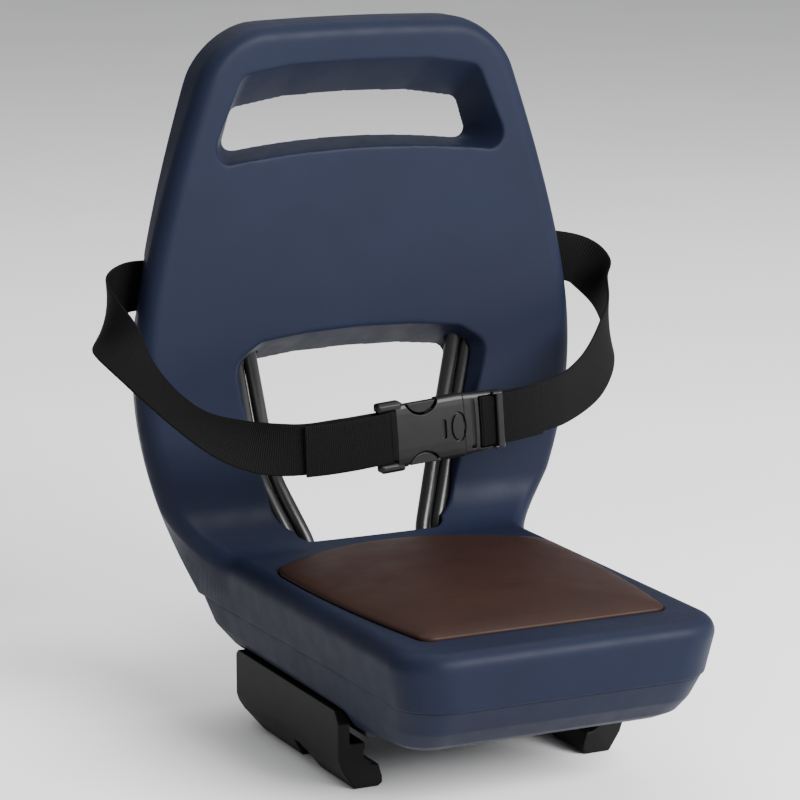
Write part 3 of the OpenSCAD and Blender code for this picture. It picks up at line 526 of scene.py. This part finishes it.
def grip_sill():
    """The handle opening's lower edge rises to its middle."""
    def arch(low, half):
        return [(x, low + 6 * (1 - (x / half) ** 2)) for x in np.linspace(-half, half, 25)]
    front = arch(grip_low_z, grip_low_x - 8) + [(-90, grip_low_z - 9), (90, grip_low_z - 9)]
    rear = arch(grip_low_z + 7, grip_low_x - 24) + [(-80, grip_low_z - 9), (80, grip_low_z - 9)]
    return hull(upright(front, back_front_y - 6) + upright(rear, rim_y + 5))


def window_face(grow):
    """Outline of the window on the backrest's face."""
    return discs([(0, window_top_z - 14), (40, window_top_z - 15.5), (70, window_top_z - 19),
                  (window_x - 14, window_top_z - 27)], 14 + grow) + \
        discs([(window_foot_x - 15, seat_z + 34)], 30 + grow)


def window_opening(grow):
    """The window, which narrows from the face to the back."""
    rear = discs([(0, window_top_z - 30), (40, window_top_z - 31),
                  (window_x - 29, window_top_z - 34)], 8 + 1.7 * grow)
    rear += discs([(window_foot_x - 22, seat_z + 30)], 26 + 1.7 * grow)
    return hull(upright(window_face(grow), back_front_y - 1) + upright(rear, rim_y + 0.01))


def window_foot():
    """The window's lower end, cut on into the seat."""
    face = window_face(0)
    return hull(upright(face, seat_rear_y - 4) + upright(face, back_front_y))


def heel_opening(grow):
    """The slot through the seat's rear end, for the tubes' legs."""
    x, low = window_foot_x - 1.5, 92 + grow / 2
    corners = [p for side in (x - 10, 10 - x) for p in circle(side, seat_rear_y + 10, 10 + grow)]
    corners += [(x + grow, rim_y + 10), (-x - grow, rim_y + 10)]
    return hull(level(corners, low) + level(corners, low + seat_z - 92 + 8))


# Route of the tubes
tube_y = 154
tube_pitch = tube_d + tube_gap
leg_top, leg_knee = (101.5, tube_y, 350), (68, tube_y, 165)
leg_bend, leg_heel = (49, tube_y - 20, 116), (44, tube_y - 39, 70)
leg_lean = math.atan2(leg_top[0] - leg_knee[0], leg_top[2] - leg_knee[2])


def round_corner(a, b, c, r, steps):
    """Points of an arc of radius r that rounds the corner at b."""
    a, b, c = Vector(a), Vector(b), Vector(c)
    u, v = (b - a).normalized(), (c - b).normalized()
    turn = math.acos(max(-1.0, min(1.0, u.dot(v))))
    start = b - u * r * math.tan(turn / 2)
    side = (v - u * u.dot(v)).normalized()
    return [start + r * (u * math.sin(turn * k / steps) + side * (1 - math.cos(turn * k / steps)))
            for k in range(steps + 1)]


def tube_route(side):
    """Middle line of one tube, from one foot over the top bend to the other."""
    spread = (1 + math.sin(leg_lean)) / math.cos(leg_lean)
    corners = [(0, tube_y, leg_top[2] + side),
               (leg_top[0] + side * spread, tube_y, leg_top[2] + side),
               (leg_knee[0] + side * 1.063, leg_knee[1], leg_knee[2]),
               (leg_bend[0] + side * 1.063, leg_bend[1], leg_bend[2]),
               (leg_heel[0] + side, leg_heel[1], leg_heel[2]), (leg_heel[0] + side, 1, 70)]
    half = []
    for k, r in zip((1, 2, 3, 4), (28 + side, 90, 60, 24)):
        half += round_corner(corners[k - 1], corners[k], corners[k + 1], r, 12)
    half.append(Vector(corners[5]))
    return [Vector((-p.x, p.y, p.z)) for p in reversed(half)] + half


def tangents(path):
    """Direction of a path at each of its points."""
    return [(path[min(i + 1, len(path) - 1)] - path[max(i - 1, 0)]).normalized()
            for i in range(len(path))]


def swept_tube(name, path, radius, sides, material, cap=True):
    """A round bar along a path."""
    along = tangents(path)
    u = Vector((0, 1, 0.2))
    points, faces = [], []
    for p, t in zip(path, along):
        u = (u - t * u.dot(t)).normalized()
        v = t.cross(u)
        for k in range(sides):
            a = 2 * math.pi * k / sides
            points.append((p + radius * (u * math.cos(a) + v * math.sin(a))) / 1000)
    for i in range(len(path) - 1):
        for k in range(sides):
            a, b = i * sides + k, i * sides + (k + 1) % sides
            faces.append((a, b, b + sides, a + sides))
    if cap:
        faces.append(tuple(range(sides - 1, -1, -1)))
        faces.append(tuple(len(points) - sides + k for k in range(sides)))
    piece = new_piece(name, points, faces, material)
    smooth_faces(piece, 50)
    return piece


# Shell
def tube_pair(grow):
    """Outline of the two tubes side by side, grown by a clearance."""
    return [p for s in (-1, 1) for p in circle(s * tube_pitch / 2, 0, tube_d / 2 + grow)]


screw_pitch = tube_pitch + tube_d + 2 * (2.5 + 0.3 + 3.6 + 0.3)
cradle_w = screw_pitch + 2 * 3.6 + 1
saddle_l = 15
upper_z = leg_top[2] - 44
upper_x = leg_knee[0] + (upper_z - leg_knee[2]) * math.tan(leg_lean)
upper_places = [in_mm(s * upper_x, tube_y, upper_z) @ Matrix.Rotation(s * leg_lean, 4, "Y")
                for s in (-1, 1)]
lower_places = [in_mm(s * leg_heel[0], y, 70) @ Matrix.Rotation(math.pi / 2, 4, "X")
                for s in (-1, 1) for y in (17, 59)]
screw_spots = [(-70, -113), (70, -113), (-17, -43), (17, -43), (-17, 57), (17, 57)]
boss_z, boss_r, head_boss_r = pan_z + 19, 5, 6.8
pilot_r, shank_room_r, head_room_r = 2.15, 2.2, 4.6
tube_play = 0.3
rib_h, rib_r = 8, 1


def cradle(place, depth):
    """The block of plastic that a saddle is screwed to."""
    form = block((-cradle_w / 2, -depth, -saddle_l / 2), (cradle_w / 2, 0, saddle_l / 2))
    return placed(form, place)


def cradle_cut(place, grow, length):
    """The bed of a tube pair in its cradle."""
    pair = tube_pair(grow)
    return placed(hull(level(pair, -length / 2) + level(pair, length / 2)), place)


def rib_out(a, b):
    """A rib on the back of the backrest, from one place to another."""
    y = back_front_y + back_dish + 1
    ends = [p for q in (a, b) for p in circle(q[0], q[1], rib_r, 12)]
    return hull(upright(ends, y) + upright(ends, y + rib_h))


def full_width(rear_y, low_z, high_z):
    """A block across the whole seat, between two heights."""
    return block((-200, 0, low_z), (200, rear_y, high_z))


def pad_half(y):
    """Half width of the pad at a depth, a little barrelled."""
    return pad_x - 0.00055 * (y - 34) ** 2


def pad_outline(grow):
    """The pad from above: straight front with small rounds, and a domed rear end."""
    front, rear, r = seat_front_y + 38, seat_rear_y - 16, 10
    side = []
    for a in np.linspace(-90, 0, 9):
        side.append((pad_half(front + r) - r + (r + grow) * math.cos(math.radians(a)),
                     front + r + (r + grow) * math.sin(math.radians(a))))
    for y in np.linspace(-98, 52, 11):
        side.append((pad_half(y) + grow, y))
    for k in (0.96, 0.9, 0.82, 0.75, 0.65, 0.55, 0.45, 0.35, 0.25, 0.15, 0.05):
        n = Vector((84 * k / 100, 1)).normalized()
        side.append((pad_x * k + n.x * grow, rear - 42 * k * k + n.y * grow))
    return side + [(-x, y) for x, y in reversed(side)]


def prism(outline, low, high):
    """An outline drawn up between two heights."""
    n = len(outline)
    points = [(x / 1000, y / 1000, low / 1000) for x, y in outline] + \
        [(x / 1000, y / 1000, high / 1000) for x, y in outline]
    faces = [tuple(range(n - 1, -1, -1)), tuple(range(n, 2 * n))]
    faces += [(i, (i + 1) % n, n + (i + 1) % n, n + i) for i in range(n)]
    return new_piece("form", points, faces, shell_plastic)


def make_shell():
    """The moulded shell: skin, flanges of the openings, ribs, cradles and bosses."""
    inside = skin(wall, 6)
    shell = carve(skin(0, 0), [inside], "DIFFERENCE")
    zone = carve(full_width(rim_y, window_top_z - 35, window_top_z + 65),
                 [full_width(tube_y + 2, seat_z + 12, seat_z + 144)], "UNION")
    low_zone = (tube_y + 2, seat_z + 10, seat_z + 90)
    extras = [grip_opening(wall),
              carve(window_opening(wall), [zone], "INTERSECT"),
              carve(heel_opening(wall), [full_width(seat_rear_y + 2, 0, 400)], "INTERSECT"),
              # Low down, the window's side walls run back past the legs
              carve(window_opening(9), [full_width(*low_zone)], "INTERSECT")]
    for extra in extras[1:]:
        room = [swept_tube("room", tube_route(side), tube_d / 2 + 0.4, 16, shell_plastic)
                for side in (-tube_pitch / 2, 0, tube_pitch / 2)]
        carve(extra, room, "DIFFERENCE")
    for x in (-60, -20, 20, 60):
        extras.append(rib_out((x, window_top_z - 2), (x, grip_low_z + 6)))
    for z in (294, 338):
        extras.append(rib_out((wall - back_half(z), z), (back_half(z) - wall, z)))
    for place in upper_places:
        extras.append(cradle(place, tube_y - back_front_y - wall))
    for x, y in screw_spots:
        extras.append(post(x, y, boss_z, boss_r, seat_z - boss_z - wall / 2))
    extras.append(prism(pad_outline(wall), seat_z - pad_recess - wall, seat_z - pad_recess))
    extras = [carve(extra, [skin(wall / 2, 0)], "INTERSECT") for extra in extras]
    carve(shell, extras, "UNION")
    grip = carve(grip_opening(0), [grip_sill()], "DIFFERENCE")
    cuts = [grip, window_opening(0), window_foot(), heel_opening(0),
            prism(pad_outline(pad_gap), seat_z - pad_recess, seat_z + 18)]
    for s in (-1, 1):
        # The belt lies in a shallow notch of the rear edge
        cuts.append(block((s * 170 - 50, rim_y - 3, belt_z - 19),
                          (s * 170 + 50, rim_y + 17, belt_z + 19)))
    for place in upper_places:
        cuts.append(cradle_cut(place, tube_play, saddle_l + 2))
    for x, y in screw_spots:
        cuts.append(post(x, y, boss_z - 1, pilot_r, 24))
    carve(shell, cuts, "DIFFERENCE")
    shell.name = "moulded_shell"
    soften(shell, 0.9, 11, 195000)
    return shell


def make_pan():
    """The moulded pan: a tray with bosses, ribs and room for the jaws."""
    def ring(z, half_front, half_rear, front_y, rear_y, r_front, r_rear):
        outline = [p for s in (-1, 1) for p in
                   circle(s * (half_front - r_front), front_y + r_front, r_front, 48)
                   + circle(s * (half_rear - r_rear), rear_y - r_rear, r_rear, 32)]
        return level(outline, z)

    def form(i, rise):
        front = seat_front_y + (seat_z - seam_z) * math.tan(math.radians(chin_tilt)) + 1 + i
        rear = rim_y - 1 - i
        return hull(
            ring(seam_z + max(rise, 0.8), front_half - 1 - i, rear_half - 1 - i, front, rear,
                 28 - i, 7 - i)
            + ring(pan_z + 20, front_half - 4 - i, rear_half - 5 - i, front + pan_chin * 0.36,
                   rear - 8, 26 - i, 12 - i)
            + ring(pan_z + 9, front_half - 7 - i, rear_half - 12 - i, front + pan_chin * 0.7,
                   rear - 22, 24 - i, 16 - i)
            + ring(pan_z + 4 + i, front_half - 16 - i, 0.5 * rear_half, front + pan_chin, 7,
                   18 - i, 10)
            + ring(pan_z + i, front_half - 13 - i, rear_half - 24 - i, -63, rear - 50, 10, 16 - i))

    def recess(grow, s):
        """Room for a jaw, at its furthest in."""
        x = sorted((s * (82.5 - grow), s * 123.5))
        return block((x[0], -47.3 - grow, 0), (x[1], 120.3 + grow, arm_top_z + 1.1 + grow))

    pan = carve(form(0, 0), [form(wall, 3)], "DIFFERENCE")
    extras = [recess(wall, s) for s in (-1, 1)]
    for x, y in screw_spots:
        extras.append(post(x, y, pan_z, head_boss_r, 11))
        extras.append(post(x, y, pan_z, boss_r, boss_z - pan_z - 0.3))
    for place in lower_places:
        extras.append(cradle(place, 26))

    def floor_rib(a, b, h):
        outline = circle(a[0], a[1], rib_r, 12) + circle(b[0], b[1], rib_r, 12)
        extras.append(hull(level(outline, pan_z + 1) + level(outline, pan_z + 1 + h)))

    for s in (-1, 1):
        floor_rib((s * 30, -128), (s * 30, -43), wall + 6)
        floor_rib((s * 10, -133), (s * 10, 107), wall + 6)
        floor_rib((s * 30, -83), (s * 92, -83), wall + 8)
    floor_rib((-30, -43), (30, -43), wall + 6)
    floor_rib((-23, 77), (23, 77), wall + 6)
    extras = [carve(extra, [form(wall / 2, 0)], "INTERSECT") for extra in extras]
    carve(pan, extras, "UNION")
    cuts = [recess(0, s) for s in (-1, 1)]
    for s in (-1, 1):
        # Slots for the jaws' arms, and holes for their bolts and for the rail pads' studs
        for y in (-20, 91):
            cuts.append(block((s * 83 - 5.5, y - 13.3, arm_low_z - 1.2),
                              (s * 83 + 5.5, y + 13.3, arm_top_z + 1.1)))
            cuts.append(post(s * 52, y, 0, 3.2, arm_low_z))
        for y in (12, 59):
            cuts.append(post(s * 73, y, 0, 3.3, arm_low_z))
    for x, y in screw_spots:
        cuts.append(post(x, y, 0, head_room_r, pan_z + 8))
        cuts.append(post(x, y, 0, shank_room_r, boss_z + 1))
    for place in lower_places:
        cuts.append(cradle_cut(place, tube_play, saddle_l + 2))
    carve(pan, cuts, "DIFFERENCE")
    pan.name = "moulded_pan"
    soften(pan, 1.0, 7, 150000)
    return pan


shell = make_shell()
pan = make_pan()
for piece, node in ((shell, "seat_shell"), (pan, "base_pan")):
    piece.data.materials.clear()
    piece.data.materials.append(shell_plastic)
    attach(piece, "seat")
    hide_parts(node)


# Pad: foam with a skin, bevelled to its edge and crowned in the middle
def make_pad():
    """The pad, lofted from its edge up to its crown."""
    base = seat_z - pad_recess + 0.3
    outline = pad_outline(0)
    n = len(outline)
    # Share of the outline, and height above the pad's underside
    profile = [(0.955, 0.0), (0.99, 0.0), (0.997, 0.4), (1.0, 1.4), (1.0, 2.2), (0.998, 3.0),
               (0.992, 3.7), (0.98, 4.3), (0.96, 4.9), (0.93, 5.7), (0.90, 6.3), (0.87, 6.75),
               (0.84, 7.05)]
    profile += [(s, 7.3 + 2.6 * (1 - (s / 0.84) ** 2))
                for s in (0.80, 0.72, 0.62, 0.5, 0.36, 0.2, 0.08)]
    points, faces = [], []
    for share, rise in profile:
        for x, y in outline:
            points.append((x * share / 1000, (-18 + (y + 18) * share) / 1000, (base + rise) / 1000))
    for i in range(len(profile) - 1):
        for j in range(n):
            a, b = i * n + j, i * n + (j + 1) % n
            faces.append((a, b, b + n, a + n))
    top = (len(profile) - 1) * n
    points.append((0, -0.018, (base + 9.9) / 1000))
    faces += [(top + j, top + (j + 1) % n, len(points) - 1) for j in range(n)]
    faces.append(tuple(range(n - 1, -1, -1)))
    pad = new_piece("foam_pad", points, faces, pad_foam)
    return pad


pad = make_pad()
smooth_faces(pad)
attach(pad, "seat")
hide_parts("seat_pad")


# Tubes
for name, side in (("outer_tube", tube_pitch / 2), ("inner_tube", -tube_pitch / 2)):
    tube = swept_tube("bent_" + name, tube_route(side), tube_d / 2, 28, black_paint)
    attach(tube, "seat")
    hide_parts(name)


def cad_copy(node, name, material):
    """A piece with the form of a CAD node, to be refined."""
    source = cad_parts[node]
    mesh = source.data.copy()
    mesh.transform(source.matrix_world)
    mesh.materials.clear()
    mesh.materials.append(material)
    piece = bpy.data.objects.new(name, mesh)
    bpy.context.scene.collection.objects.link(piece)
    merge = bmesh.new()
    merge.from_mesh(mesh)
    bmesh.ops.remove_doubles(merge, verts=merge.verts, dist=1e-6)
    merge.to_mesh(mesh)
    merge.free()
    return piece


def refine(node, name, material, voxel, rounds, most, slot, body="seat"):
    """A piece after a CAD node, with its edges rounded."""
    piece = cad_copy(node, name, material)
    if slot == "jaw":
        # The washers bear on the arms: a hair of room lets the jaw slide under them
        over = block((-140, -60, arm_top_z - 0.15), (140, 130, arm_top_z + 5))
        carve(piece, [over], "DIFFERENCE")
    soften(piece, voxel, rounds, most)
    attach(piece, body)
    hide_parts(node)
    return piece


refine("tube_plugs", "end_plugs", jaw_plastic, 0.35, 2, 12000, "plug")
refine("upper_saddles", "pressed_saddles_high", dull_paint, 0.4, 2, 30000, "saddle")
refine("lower_saddles", "pressed_saddles_low", dull_paint, 0.4, 2, 50000, "saddle")
refine("jaw_left", "moulded_jaw_left", jaw_plastic, 0.8, 3, 60000, "jaw", "left_clamp")
refine("jaw_right", "moulded_jaw_right", jaw_plastic, 0.8, 3, 60000, "jaw", "right_clamp")
refine("rail_pad_left", "moulded_rail_pad_left", rubber, 0.8, 2, 24000, "rail_pad")
refine("rail_pad_right", "moulded_rail_pad_right", rubber, 0.8, 2, 24000, "rail_pad")
for node in ("saddle_screws", "pan_screws", "clamp_bolts", "clamp_washers", "clamp_nuts"):
    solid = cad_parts[node]
    for k in range(max(1, len(solid.material_slots))):
        if len(solid.material_slots):
            solid.material_slots[k].material = zinc
    smooth_faces(solid, 35)


# Lap belt: one tape, looped round a bar at each end. Near its bars it follows the tilted buckle.
buckle_at, buckle_tilt, loop_r = (2, 27, 212), math.radians(4), 3.2
bar_left, bar_right = -37.0, 33.0
belt_back_y = rim_y - 1.7


def flat_key(x, y, z):
    """A key place of the belt where its width stands as the buckle's does."""
    return (x, y, z, -math.sin(buckle_tilt), 0, math.cos(buckle_tilt))


belt_left = [flat_key(-62, 28.5, 208), (-98, 33, 206, 0, 0.05, 1), (-128, 46, 210, 0.2, 0.55, 0.8),
             (-154, 67, 223, 0.4, 0.8, 0.4), (-174, 95, 245, 0.5, 0.8, 0.4),
             (-184.5, 124, 269, 0.4, 0.5, 0.7), (-179, 152, 288, 0.15, 0.1, 1),
             (-162, 164.5, 296, 0, 0, 1), (-140, belt_back_y, belt_z, 0, 0, 1)]
belt_right = [(140, belt_back_y, belt_z, 0, 0, 1), (162, 164.5, 296, 0, 0, 1),
              (183, 157, 289, 0.05, 0.2, 1), (187, 140, 271, 0.08, 0.35, 0.9),
              (174, 106, 248, 0.2, 0.5, 0.8), (143, 70, 230, 0.1, 0.4, 0.9),
              (105, 43, 220, 0, 0.1, 1), flat_key(70, 30, 217)]
tail_left = [flat_key(-92, 28.4, 205), flat_key(-76, 26.5, 205.6), flat_key(-58, 24.8, 207)]
tail_right = [flat_key(60, 24.8, 216), flat_key(72, 26.6, 217), flat_key(80, 28.6, 217.4)]


def smooth_keys(keys, steps):
    """A smooth run through key places, each with a place and a width direction."""
    rows = np.array(keys, float)
    far = np.vstack([2 * rows[0] - rows[1], rows, 2 * rows[-1] - rows[-2]])
    out = []
    for i in range(1, len(far) - 2):
        p0, p1, p2, p3 = far[i - 1:i + 3]
        for k in range(steps):
            t = k / steps
            out.append(0.5 * (2 * p1 + (p2 - p0) * t + (2 * p0 - 5 * p1 + 4 * p2 - p3) * t * t
                              + (3 * p1 - p0 - 3 * p2 + p3) * t ** 3))
    out.append(far[-2])
    return out


def bar_loop(bar, turns):
    """Key places round one of the buckle's bars."""
    c, t, s = math.cos(buckle_tilt), math.sin(buckle_tilt), math.copysign(1, bar)
    keys = []
    for a in (math.radians(turn) for turn in turns):
        along = bar - s * loop_r * math.cos(a)
        keys.append(np.array(flat_key(buckle_at[0] + along * c, buckle_at[1] + loop_r * math.sin(a),
                                      buckle_at[2] + along * t)))
    return keys


def belt_keys():
    """The belt from its left tail round the back to its right tail."""
    loop = [-90, -75, -60, -45, -30, -15, 0, 15, 30, 45, 60, 75, 90]
    return (smooth_keys(tail_left, 6) + bar_loop(bar_left, loop)
            + smooth_keys(belt_left, 9) + smooth_keys(belt_right, 9)
            + bar_loop(bar_right, loop[::-1]) + smooth_keys(tail_right, 6))


def make_tape(keys, width, thick):
    """A tape with rounded selvedges, with a map of its length and width in metres."""
    half, t = width / 2, thick / 2
    turns = np.linspace(0.4, math.pi - 0.4, 5)
    profile = [(v, t) for v in np.linspace(-half + t, half - t, 13)]
    profile += [(half - t + t * math.sin(a), t * math.cos(a)) for a in turns]
    profile += [(v, -t) for v in np.linspace(half - t, -half + t, 13)]
    profile += [(-half + t - t * math.sin(a), -t * math.cos(a)) for a in turns]
    path = [Vector(k[:3]) for k in keys]
    along = tangents(path)
    n = len(profile)
    points, faces, places = [], [], []
    run = 0.0
    for i, (p, d) in enumerate(zip(path, along)):
        if i:
            run += (p - path[i - 1]).length
        raw = Vector(keys[i][3:])
        u = (raw - d * raw.dot(d)).normalized()
        v = d.cross(u).normalized()
        for a, b in profile:
            points.append((p + u * a + v * b) / 1000)
            places.append((run / 1000, a / 1000))
    for i in range(len(path) - 1):
        for j in range(n):
            a, b = i * n + j, i * n + (j + 1) % n
            faces.append((a, b, b + n, a + n))
    faces.append(tuple(range(n - 1, -1, -1)))
    faces.append(tuple(len(points) - n + k for k in range(n)))
    belt = new_piece("belt_tape", points, faces, tape)
    layer = belt.data.uv_layers.new(name="tape")
    for loop in belt.data.loops:
        layer.data[loop.index].uv = places[loop.vertex_index]
    smooth_faces(belt, 60)
    return belt, run


belt, belt_length = make_tape(belt_keys(), belt_w, belt_t)
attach(belt, "seat")
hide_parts("lap_belt")
print("belt length mm", round(belt_length))


# Buckle. X runs along the strap, Y across it, and Z towards the child.
to_buckle = (in_mm(*buckle_at) @ Matrix.Rotation(-buckle_tilt, 4, "Y")
             @ Matrix.Rotation(math.pi / 2, 4, "X"))
mouth_x, prong_spot = 17.2, -12.5
notch_y, notch_r = 24.6, 12.4


def crowned(x0, x1, half0, half1, thick0, thick1):
    """A body between two places along the strap, thinner towards its long edges."""
    crown = ((1.0, 0.5), (0.97, 0.68), (0.88, 0.82), (0.7, 0.91), (0.4, 0.98), (0, 1))
    points = []
    for x, half, thick in ((x0, half0, thick0), (x1, half1, thick1)):
        for side in (-1, 1):
            for share, rise in crown:
                points += [(x, side * half * share, face * rise * thick) for face in (1, -1)]
    return hull(points)


def bar_between(x0, x1, y0, y1, z0, z1, r=0.9):
    """A rounded beam."""
    points = []
    for x in (x0 + r, x1 - r):
        for y in (y0 + r, y1 - r):
            for z in (z0 + r, z1 - r):
                points += [(x + a, y + b, z + c) for a, b, c in (
                    (r, 0, 0), (-r, 0, 0), (0, r, 0), (0, -r, 0), (0, 0, r), (0, 0, -r))]
                q = r * 0.6
                points += [(x + a, y + b, z + c) for a in (-q, q) for b in (-q, q) for c in (-q, q)]
    return hull(points)


def oval(x, rx, ry, z0, z1, sides=48):
    """A flat oval disc."""
    ring = [(x + rx * math.cos(2 * math.pi * k / sides), ry * math.sin(2 * math.pi * k / sides))
            for k in range(sides)]
    return hull(level(ring, z0) + level(ring, z1))


def oval_groove():
    """The ring that is sunk round the oval place at the joint of the two halves."""
    return carve(oval(12.6, 5.9, 10.3, 4.5, 8), [oval(12.6, 4.2, 8.6, 4.0, 9)], "DIFFERENCE")


def make_socket():
    """The buckle's body: a hollow with two edge notches, ears and a bar."""
    body = carve(crowned(-31.5, mouth_x, 21, 21, 5.6, 6.2), [oval_groove()], "DIFFERENCE")
    cuts = [post(prong_spot, s * notch_y, -9, notch_r, 18, 64) for s in (-1, 1)]
    cuts.append(block((-26, -15.5, -3.2), (mouth_x + 1, 15.5, 3.2)))
    cuts.append(hull([p for s in (-5, 5) for z in (4.1, 8) for p in level(
        [(2.2 + q[0], s + q[1]) for q in circle(0, 0, 1.7, 20)], z)]))
    carve(body, cuts, "DIFFERENCE")
    ears = [bar_between(-44, -26, s * 20.2 - 3.2, s * 20.2 + 3.2, -4.2, 4.6, 2.0) for s in (-1, 1)]
    bar = hull([(bar_left + 1.6 * math.cos(a), y, 1.6 * math.sin(a))
                for a in np.linspace(0, 2 * math.pi, 16)[:-1] for y in (-20, 20)])
    carve(body, ears + [bar], "UNION")
    body.name = "buckle_body"
    return placed(body, to_buckle)


def make_plug():
    """The buckle's tongue: two prongs, a guide, a ladder frame and a bar."""
    frame_form = carve(crowned(mouth_x + 0.35, 46, 20.6, 18.6, 5.6, 4.9), [oval_groove()],
                       "DIFFERENCE")
    cuts = [bar_between(22.4, 25.6, -16.6, 16.6, -9, 9), bar_between(28.4, 60, -17.6, 17.6, -9, 9)]
    carve(frame_form, cuts, "DIFFERENCE")
    more = [bar_between(41.2, 46.2, -19.2, 19.2, 4.3, 6.8),
            hull([(bar_right + 1.6 * math.cos(a), y, 1.6 * math.sin(a))
                  for a in np.linspace(0, 2 * math.pi, 16)[:-1] for y in (-18.2, 18.2)])]
    more += [bar_between(38.5, 46.2, s * 18.2 - 1.1, s * 18.2 + 1.1, -3, 6.6) for s in (-1, 1)]
    for s in (-1, 1):
        # A prong is a lens that fills the notch in the body's edge, on a spring arm
        lens = []
        for inset, z in ((0.15, -3.2), (0.15, 1.2), (1.5, 3.6)):
            r = notch_r - inset
            lens += level([(prong_spot + r * math.cos(a), s * (notch_y - r * math.sin(a)))
                           for a in np.linspace(0.38, math.pi - 0.38, 24)], z)
        more.append(hull(lens))
        more.append(block((-10, min(s * 11, s * 15), -2.5), (20, max(s * 11, s * 15), 2.5)))
    more.append(block((-18, -3, -2.5), (20, 3, 2.5)))
    carve(frame_form, more, "UNION")
    frame_form.name = "buckle_tongue"
    return placed(frame_form, to_buckle)


for piece, node in ((make_socket(), "buckle_socket"), (make_plug(), "buckle_plug")):
    piece.data.materials.clear()
    piece.data.materials.append(buckle_plastic)
    soften(piece, 0.24, 3, 120000)
    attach(piece, "seat")
    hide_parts(node)


# Floor, light and air
def make_floor():
    """A pale floor, out of the part's way."""
    corners = [(-6, -6), (6, -6), (6, 6), (-6, 6)]
    floor = new_piece("floor", level(corners, -0.0005), [(0, 1, 2, 3)], paper())


def paper():
    """White background paper, matt."""
    material, tree, surface = new_material("background_paper", 0.9, 1.4)
    colour = colour_ramp(tree, grain(tree, 400, 2.0), [(0.3, "#f1f1f1"), (0.7, "#f5f5f5")])
    tree.links.new(colour, surface.inputs["Base Color"])
    return material


def soft_box(name, place, aim_at, width, height, watts, colour):
    """A soft studio light that faces a place."""
    data = bpy.data.lights.new(name, "AREA")
    data.shape = "RECTANGLE"
    data.size, data.size_y = width, height
    data.energy = watts
    data.color = from_hex(colour)[:3]
    lamp = bpy.data.objects.new(name, data)
    lamp.location = place
    lamp.rotation_euler = (Vector(aim_at) - Vector(place)).to_track_quat("-Z", "Y").to_euler()
    bpy.context.scene.collection.objects.link(lamp)


make_floor()
soft_box("front_box", (1.0, -2.3, 1.5), (0, 0.1, 0.25), 1.8, 1.4, 245, "#ffffff")
soft_box("top_box", (0.3, 0.6, 2.6), (0.1, 0.3, 0), 3.2, 3.2, 75, "#ffffff")
soft_box("right_box", (2.2, -0.6, 1.0), (0, 0.05, 0.25), 1.0, 1.4, 12, "#ffffff")
world = bpy.data.worlds.new("studio")
world.use_nodes = True
world.node_tree.nodes["Background"].inputs["Color"].default_value = from_hex("#f4f5f7")
world.node_tree.nodes["Background"].inputs["Strength"].default_value = 0.5
bpy.context.scene.world = world
